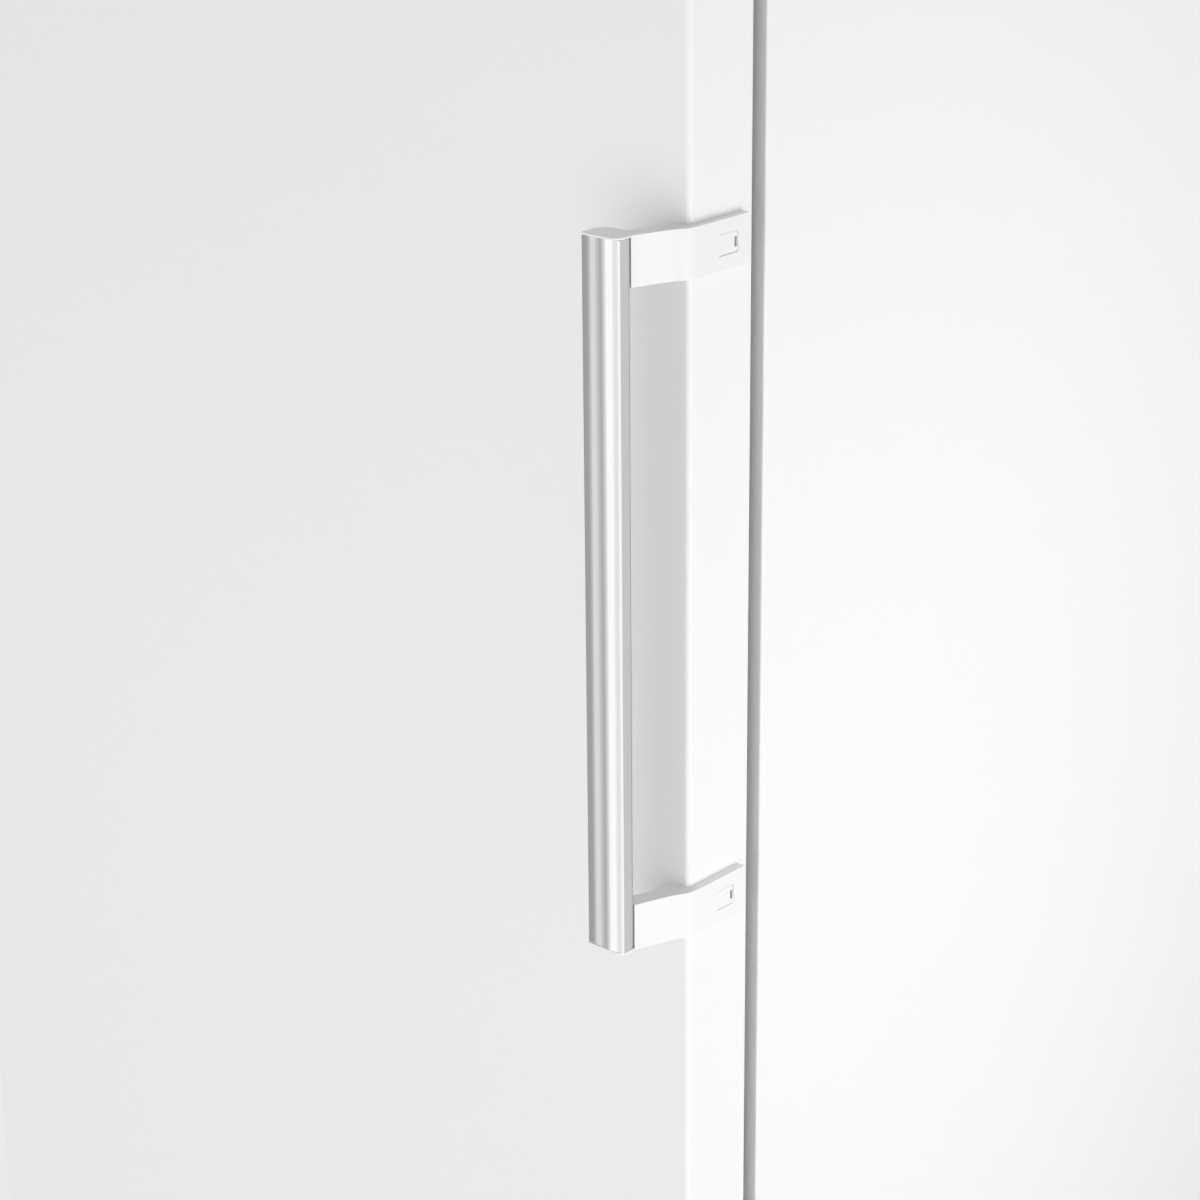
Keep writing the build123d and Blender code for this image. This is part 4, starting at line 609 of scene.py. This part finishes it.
def add_bracket(name, node, upper):
    """A cap over the end of the bar, an arm round the door's corner and a plate on the door's side."""
    low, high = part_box(node)
    arm = [
        (-7.5, -33.5), (-7.2, -32.2), (-0.3, -12.4), (4.5, -4.6), (PLATE, 6.0), (PLATE, 39.4),
        (0.02, 39.4), (0.02, -0.02), (-8.2, -0.02), (-11.0, -6.5), (-12.4, -17.0), (-17.5, -28.0),
    ]
    radii = [0, 2, 24, 14, 8, 0.8, 0, 3, 0, 14, 20, 0]
    corners = [at_corner(x, y, low.z) for x, y in arm]
    piece = draw_outline(name, corners, [radius * MM for radius in radii], 8)
    extrude_all((0, 0, BRACKET_TALL * MM))
    leave_editing()
    cap_z = high.z - RIM * MM if upper else low.z
    corners = [(x, y, cap_z) for x, y in rectangle(BAR_LOW.xy, BAR_HIGH.xy)]
    cap = draw_outline(name + "_cap", corners, [radius * MM for radius in BAR_RADII], 8)
    extrude_all((0, 0, RIM * MM))
    leave_editing()
    cut(piece, "UNION", cap)
    soften_edges(piece, BRACKET_EDGE * MM)
    level = (low.z + high.z) / 2
    pocket = (POCKET_FLOOR, PLATE + PAST)
    cut(piece, "DIFFERENCE", pocket_block(level, pocket, POCKET_Y, POCKET_TALL, POCKET_CORNER))
    bpy.ops.object.mode_set(mode="EDIT")
    close_piece(piece, "door", "white_plastic", [node])

    sheet = (PLATE - COVER_THICK, PLATE)
    cover = pocket_block(level + COVER_RAISED * MM, sheet, COVER_Y, COVER_TALL, COVER_CORNER)
    cut(cover, "UNION", pocket_block(level, FOOT_X, FOOT_Y, SLOT_TALL))
    cut(cover, "DIFFERENCE", pocket_block(level, pocket, SLOT_Y, SLOT_TALL))
    cover.name = cover.data.name = name + "_cover"
    bpy.ops.object.mode_set(mode="EDIT")
    close_piece(cover, "door", "white_plastic", ["handle_screw_covers"])


def pocket_block(level, reach, edges, tall, radius=0.0):
    """A block in the bracket's plate, its rear corners rounded, to cut with or to fill the pocket."""
    inner, outer = reach
    half = tall / 2 * MM
    places = rectangle((edges[0], level - half), (edges[1], level + half))
    corners = [at_corner(inner, y, z) for y, z in places]
    piece = draw_outline("pocket", corners, [0, radius * MM, radius * MM, 0])
    extrude_all(((outer - inner) * MM, 0, 0))
    leave_editing()
    return piece


# Door seal: from the door's sides to its edge, and how far it reaches past the CAD gasket above and below
SEAL_INSET = 8.6
SEAL_MARGIN = 2.5


def add_seal():
    """A frame of soft profile: a foot on the door's liner, a bellows, and the magnet's strip in front."""
    low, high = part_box("door_gasket")
    depth = (high.y - low.y) / MM
    profile = [
        (5.5, 0.1), (12.5, 0.1), (13.5, 1.6), (12.4, 2.8), (15.6, 4.0), (12.6, 5.2), (16.6, 6.1),
        (17.4, depth - 0.1), (0.3, depth - 0.1), (0.6, 6.1), (3.6, 5.2), (0.8, 4.0), (4.2, 2.8), (3.6, 1.6),
    ]
    left, right = X_LEFT + SEAL_INSET * MM, X_RIGHT - SEAL_INSET * MM
    bottom, top = low.z - SEAL_MARGIN * MM, high.z + SEAL_MARGIN * MM
    places = [(right, bottom), (right, top), (left, top), (left, bottom)]
    corners = [Vector((x, low.y, z)) for x, z in places]
    runs = []
    for number, corner in enumerate(corners):
        before, after = corners[number - 1], corners[(number + 1) % 4]
        inward, along = (before - corner).normalized(), (after - corner).normalized()
        outline = [corner + inward * across * MM + Vector((0, out * MM, 0)) for across, out in profile]
        runs.append(draw_outline("seal_run", outline))
        extrude_all(after - corner)
        # Mitre both ends of the run
        bpy.ops.mesh.select_all(action="SELECT")
        bpy.ops.mesh.bisect(plane_co=corner, plane_no=along - inward, clear_inner=True)
        bpy.ops.mesh.select_all(action="SELECT")
        bpy.ops.mesh.bisect(plane_co=after, plane_no=along + inward, clear_outer=True)
        bpy.ops.object.mode_set(mode="OBJECT")
    for run in runs:
        run.select_set(True)
    bpy.ops.object.join()
    piece = bpy.context.object
    piece.name = piece.data.name = "door_seal"
    bpy.ops.object.mode_set(mode="EDIT")
    bpy.ops.mesh.select_all(action="SELECT")
    bpy.ops.mesh.remove_doubles(threshold=NEAR)
    close_piece(piece, "door", "seal_rubber", ["door_gasket"], 30)


# Cabinet's back panel: a bead's half width, its root in the sheet, its straight foot and its round ends
BEAD_HALF = 8.0
BEAD_SUNK = 0.3
BEAD_FOOT = 0.1
BEAD_END = 7.68
# The bead's round top, as steps in from its edge and up
BEAD_STEPS = [(0.9, 0.9), (1.5, 1.0), (2.2, 0.6)]
# Where the beads run: in from the sheet's edge, and down from its top edge above the condenser
BEAD_EDGE = 22
BEAD_LEVELS = [150, 105, 60]
# How far the level beads stop short of the upright ones
BEAD_SHORT = 30


def add_back_panel():
    """Zinc-coated sheet, stiffened by pressed beads round its edge and above the condenser."""
    low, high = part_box("back_panel")
    piece = block("pressed_back_panel", low, high)
    edge = BEAD_EDGE * MM
    left, right, bottom, top = low.x + edge, high.x - edge, low.z + edge, high.z - edge
    runs = [((x, bottom), (x, top)) for x in (left, right)]
    levels = [bottom, *(high.z - level * MM for level in BEAD_LEVELS), top]
    short = BEAD_SHORT * MM
    runs += [((left + short, level), (right - short, level)) for level in levels]
    for start, end in runs:
        cut(piece, "UNION", bead(start, end, high.y))
    bpy.ops.object.mode_set(mode="EDIT")
    close_piece(piece, "cabinet", "zinc_steel", ["back_panel"], 30)


def bead(start, end, face):
    """A pressed bead with round ends along the sheet, from one place to the other."""
    half = BEAD_HALF * MM
    low = (min(start[0], end[0]) - half, min(start[1], end[1]) - half)
    high = (max(start[0], end[0]) + half, max(start[1], end[1]) + half)
    root = face - BEAD_SUNK * MM
    corners = [(x, root, z) for x, z in rectangle(low, high)]
    piece = draw_outline("bead", corners, [BEAD_END * MM] * 4, 5)
    extrude_all((0, (BEAD_SUNK + BEAD_FOOT) * MM, 0))
    bpy.ops.mesh.select_all(action="SELECT")
    bpy.ops.mesh.normals_make_consistent(inside=False)
    for inward, height in BEAD_STEPS:
        top = max(point.co.y for point in bmesh.from_edit_mesh(piece.data).verts)
        pick("FACE", lambda face: min(point.co.y for point in face.verts) > top - NEAR)
        bpy.ops.mesh.inset(thickness=inward * MM, depth=height * MM)
    leave_editing()
    return piece


# Thermostat knob: its gap to the housing, the skirt's thickness, and the ledge between skirt and grip
KNOB_SIDES = 96
KNOB_GAP = 0.3
KNOB_SKIRT = 2.2
KNOB_LEDGE = 2.6
SHAFT_RADIUS = 3.0
# Steps in and up from the skirt's rim: its round edge, the ledge, the grip's side and its round edge
KNOB_STEPS = [(0.5, 0.4), (KNOB_LEDGE - 0.5, 0), (0.05, 8.6), (0.4, 0.25), (0.6, 0.1)]
KNOB_TALL = KNOB_SKIRT + sum(height for inward, height in KNOB_STEPS)
# Grooves: 2 of every 4 points round the grip are drawn in towards its axis, to a share of their distance
GROOVE_PITCH = 4
GROOVE_POINTS = 2
GROOVE = 0.955
# Their points lie further out from the skirt than this, and this far inside the grip's side or less
GROOVE_START = 1.0
GROOVE_SLACK = 0.2
# Pointer: half its width, its ends above the axis, its corners, its root in the grip, and how far its face
# stays behind the CAD knob's
POINTER_HALF = 0.7
POINTER_FROM = 1
POINTER_TO = 11
POINTER_CORNER = 0.6
POINTER_SUNK = 0.15
POINTER_BACK = 0.05


def add_knob():
    """A ridged grip on a round skirt, its shaft behind it and a raised pointer on its face."""
    low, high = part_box("thermostat_knob")
    x, z, radius = (low.x + high.x) / 2, (low.z + high.z) / 2, (high.x - low.x) / 2
    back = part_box("control_housing")[0].y - KNOB_GAP * MM
    piece = begin(
        "thermostat_grip", bpy.ops.mesh.primitive_cylinder_add, vertices=KNOB_SIDES, radius=radius,
        depth=KNOB_SKIRT * MM, rotation=(math.pi / 2, 0, 0), location=(x, back - KNOB_SKIRT / 2 * MM, z))
    bpy.ops.object.mode_set(mode="OBJECT")
    bpy.ops.object.transform_apply(location=True, rotation=True, scale=True)
    bpy.ops.object.mode_set(mode="EDIT")
    pick("FACE", lambda face: face.normal.y < -LOOKING)
    for inward, height in KNOB_STEPS:
        bpy.ops.mesh.inset(thickness=inward * MM, depth=height * MM)
    middle = Vector((x, 0, z))
    front = back - (KNOB_SKIRT + GROOVE_START) * MM

    def is_groove(point):
        across = Vector((point.co.x - x, point.co.z - z))
        step = round(math.atan2(across.y, across.x) / math.tau * KNOB_SIDES)
        on_side = across.length > radius - (KNOB_LEDGE + GROOVE_SLACK) * MM
        return point.co.y < front and on_side and step % GROOVE_PITCH < GROOVE_POINTS

    pick("VERT", is_groove)
    bpy.ops.transform.resize(value=(GROOVE, 1, GROOVE), center_override=middle)
    # Shaft
    pick("FACE", lambda face: face.normal.y > LOOKING)
    bpy.ops.mesh.inset(thickness=radius - SHAFT_RADIUS * MM, depth=0)
    bpy.ops.mesh.extrude_region_move(TRANSFORM_OT_translate={"value": (0, high.y - back, 0)})
    close_piece(piece, "thermostat_knob", "grey_plastic", ["thermostat_knob"], 22)

    root = back - (KNOB_TALL - POINTER_SUNK) * MM
    start = (x - POINTER_HALF * MM, z + POINTER_FROM * MM)
    end = (x + POINTER_HALF * MM, z + POINTER_TO * MM)
    corners = [(across, root, up) for across, up in rectangle(start, end)]
    pointer = draw_outline("knob_pointer", corners, [POINTER_CORNER * MM] * 4, 3)
    extrude_all((0, low.y + POINTER_BACK * MM - root, 0))
    close_piece(pointer, "thermostat_knob", "white_plastic")


# Pieces that keep their CAD shape, and how far their sharp edges are rounded, in millimetres
SOFT_EDGES = {
    "door_top_cap": 0.5, "door_bottom_cap": 0.5, "top_hinge_cover": 0.8, "top_panel": 0.4,
    "glass_shelf_crisper": 0.5, "glass_shelf_1": 0.5, "glass_shelf_2": 0.5, "glass_shelf_3": 0.5,
    "glass_shelf_4": 0.5, "shelf_trims": 0.6, "crisper_drawer_left": 0.6, "crisper_drawer_right": 0.6,
    "door_bin_upper": 0.6, "door_bin_lower": 0.6, "bottle_bin": 0.6, "dairy_bin": 0.6, "dairy_flap": 0.5,
    "bottle_retainer": 0.6, "control_housing": 0.8, "air_duct_cover": 0.8, "lamp_cover": 0.8,
    "evaporating_tray": 0.6, "start_relay_box": 0.8, "condenser_clips": 0.5, "compressor": 0.5,
    "door_inner_liner": 1.0, "inner_liner": 1.0, "top_hinge_bracket": 0.3, "bottom_hinge_bracket": 0.3,
}
# Those of them whose flat faces have many openings
PIERCED = {"door_inner_liner", "air_duct_cover", "crisper_drawer_left", "crisper_drawer_right"}

# Studio
FLOOR_HALF = 30.0
ROOM_LIGHT = 0.52
ZENITH_LIGHT = 0.42
NADIR_LIGHT = 0.5
BACKDROP = 0.9
# How much of the floor is plain backdrop: under the object, and from where to where it grows to all of it
FADE_NEAR = 0.5
FADE_REACH = (0.4, 2.2)
# Glow of the room round the object, seen in gloss: degrees round from the right side, and level
GLOW = [
    (0, 0.98), (20, 1.05), (50, 1.15), (68, 1.12), (86, 0.88), (96, 0.85), (106, 0.98), (116, 1.22),
    (124, 1.2), (132, 0.75), (140, 0.56), (147, 0.46), (153, 0.36), (168, 0.34), (205, 0.55),
    (240, 0.62), (262, 0.3), (298, 0.14), (306, 0.66), (316, 0.7), (340, 0.8), (360, 0.98),
]
# A ramp's greys end at 1, so it holds shares of this level
GLOW_TOP = 2.0
# Lamps: where each is and what it faces, width and height in metres, and power in watts
LAMPS = [
    ("side_softbox", (1.45, -0.1, 0.8), (0.3, -0.1, 0.8), 0.6, 0.9, 8.9),
    ("front_softbox", (0.15, -2.6, 0.5), (0.1, -0.3, 0.85), 4.6, 2.2, 48),
    ("left_softbox", (-4.2, 0.6, 1.1), (0, 0, 0.9), 3.0, 2.0, 55),
    ("back_softbox", (0.4, 4.4, 1.1), (0, 0, 0.9), 3.2, 2.0, 90),
    ("top_softbox", (0, 0.3, 4.2), (0, 0.1, 1.8), 1.6, 1.6, 11),
]


def light_room():
    """The world: even light, a plain backdrop for the camera, and the glow that gloss shows."""
    world = bpy.data.worlds.new("studio")
    bpy.context.scene.world = world
    world.use_nodes = True
    nodes = NodeSet(world.node_tree)
    direction = nodes.node("ShaderNodeTexCoord", output="Generated")
    east = nodes.axis("X", direction)
    south = 0.0 - nodes.axis("Y", direction)
    height = nodes.axis("Z", direction)
    turn = nodes.work_out("ARCTAN2", south, east) / math.tau
    turn = nodes.work_out("FRACT", turn + 1.0)
    stops = [(angle / 360, level / GLOW_TOP) for angle, level in GLOW]
    ramp = nodes.node("ShaderNodeValToRGB", {"stops": stops}, {0: turn})
    glow = nodes.node("ShaderNodeRGBToBW", inputs={"Color": ramp}) * GLOW_TOP
    above = nodes.spread(height, ROOM_LIGHT, ZENITH_LIGHT)
    below = nodes.spread(0.0 - height, 0, NADIR_LIGHT - ROOM_LIGHT)
    camera_ray = nodes.node("ShaderNodeLightPath", output="Is Camera Ray")
    glossy_ray = nodes.node("ShaderNodeLightPath", output="Is Glossy Ray")
    plain = nodes.blend(camera_ray, nodes.grey(above + below), BACKDROP)
    background = world.node_tree.nodes["Background"]
    nodes.feed(nodes.blend(glossy_ray, plain, nodes.grey(glow)), background.inputs["Color"])


def lay_floor():
    """A pale floor that takes the object's shadow and runs into the backdrop further out."""
    bpy.ops.object.select_all(action="DESELECT")
    bpy.ops.mesh.primitive_plane_add(size=2 * FLOOR_HALF, location=(0, 0, 0))
    floor = bpy.context.object
    floor.name = "floor"
    pale = Finish("pale_floor", Roughness=0.9)
    pale.set("Base Color", pale.blend(pale.noise(0.7), 0.84, 0.86))
    backdrop = pale.node("ShaderNodeEmission", inputs={"Color": BACKDROP})
    seen = pale.node("ShaderNodeLightPath", output="Is Camera Ray")
    away = pale.node("ShaderNodeVectorMath", {"operation": "LENGTH"}, {0: pale.place()}, "Value")
    share = seen * pale.spread(away, FADE_NEAR, 1, *FADE_REACH)
    own = Wire(pale, pale.shader.outputs[0])
    mixed = pale.node("ShaderNodeMixShader", inputs={0: share, 1: own, 2: backdrop})
    pale.feed(mixed, pale.tree.nodes["Material Output"].inputs["Surface"])
    floor.data.materials.append(pale.material)
    floor.visible_glossy = False
    floor.visible_diffuse = False


def add_softbox(name, at, towards, width, height, power):
    """A soft area lamp that faces a point."""
    data = bpy.data.lights.new(name, "AREA")
    data.shape = "RECTANGLE"
    data.size = width
    data.size_y = height
    data.energy = power
    lamp = bpy.data.objects.new(name, data)
    bpy.context.scene.collection.objects.link(lamp)
    lamp.location = at
    lamp.rotation_mode = "QUATERNION"
    lamp.rotation_quaternion = (Vector(towards) - Vector(at)).to_track_quat("-Z", "Y")
    lamp.visible_camera = False
    lamp.visible_glossy = False


add_camera()
light_room()
lay_floor()
for lamp in LAMPS:
    add_softbox(*lamp)
add_handle_bar()
add_bracket("upper_bracket", "handle_bracket_upper", True)
add_bracket("lower_bracket", "handle_bracket_lower", False)
add_seal()
add_back_panel()
add_knob()
for node, width in SOFT_EDGES.items():
    rework(node, node + "_softened", width)
bpy.context.scene.view_settings.view_transform = "Standard"
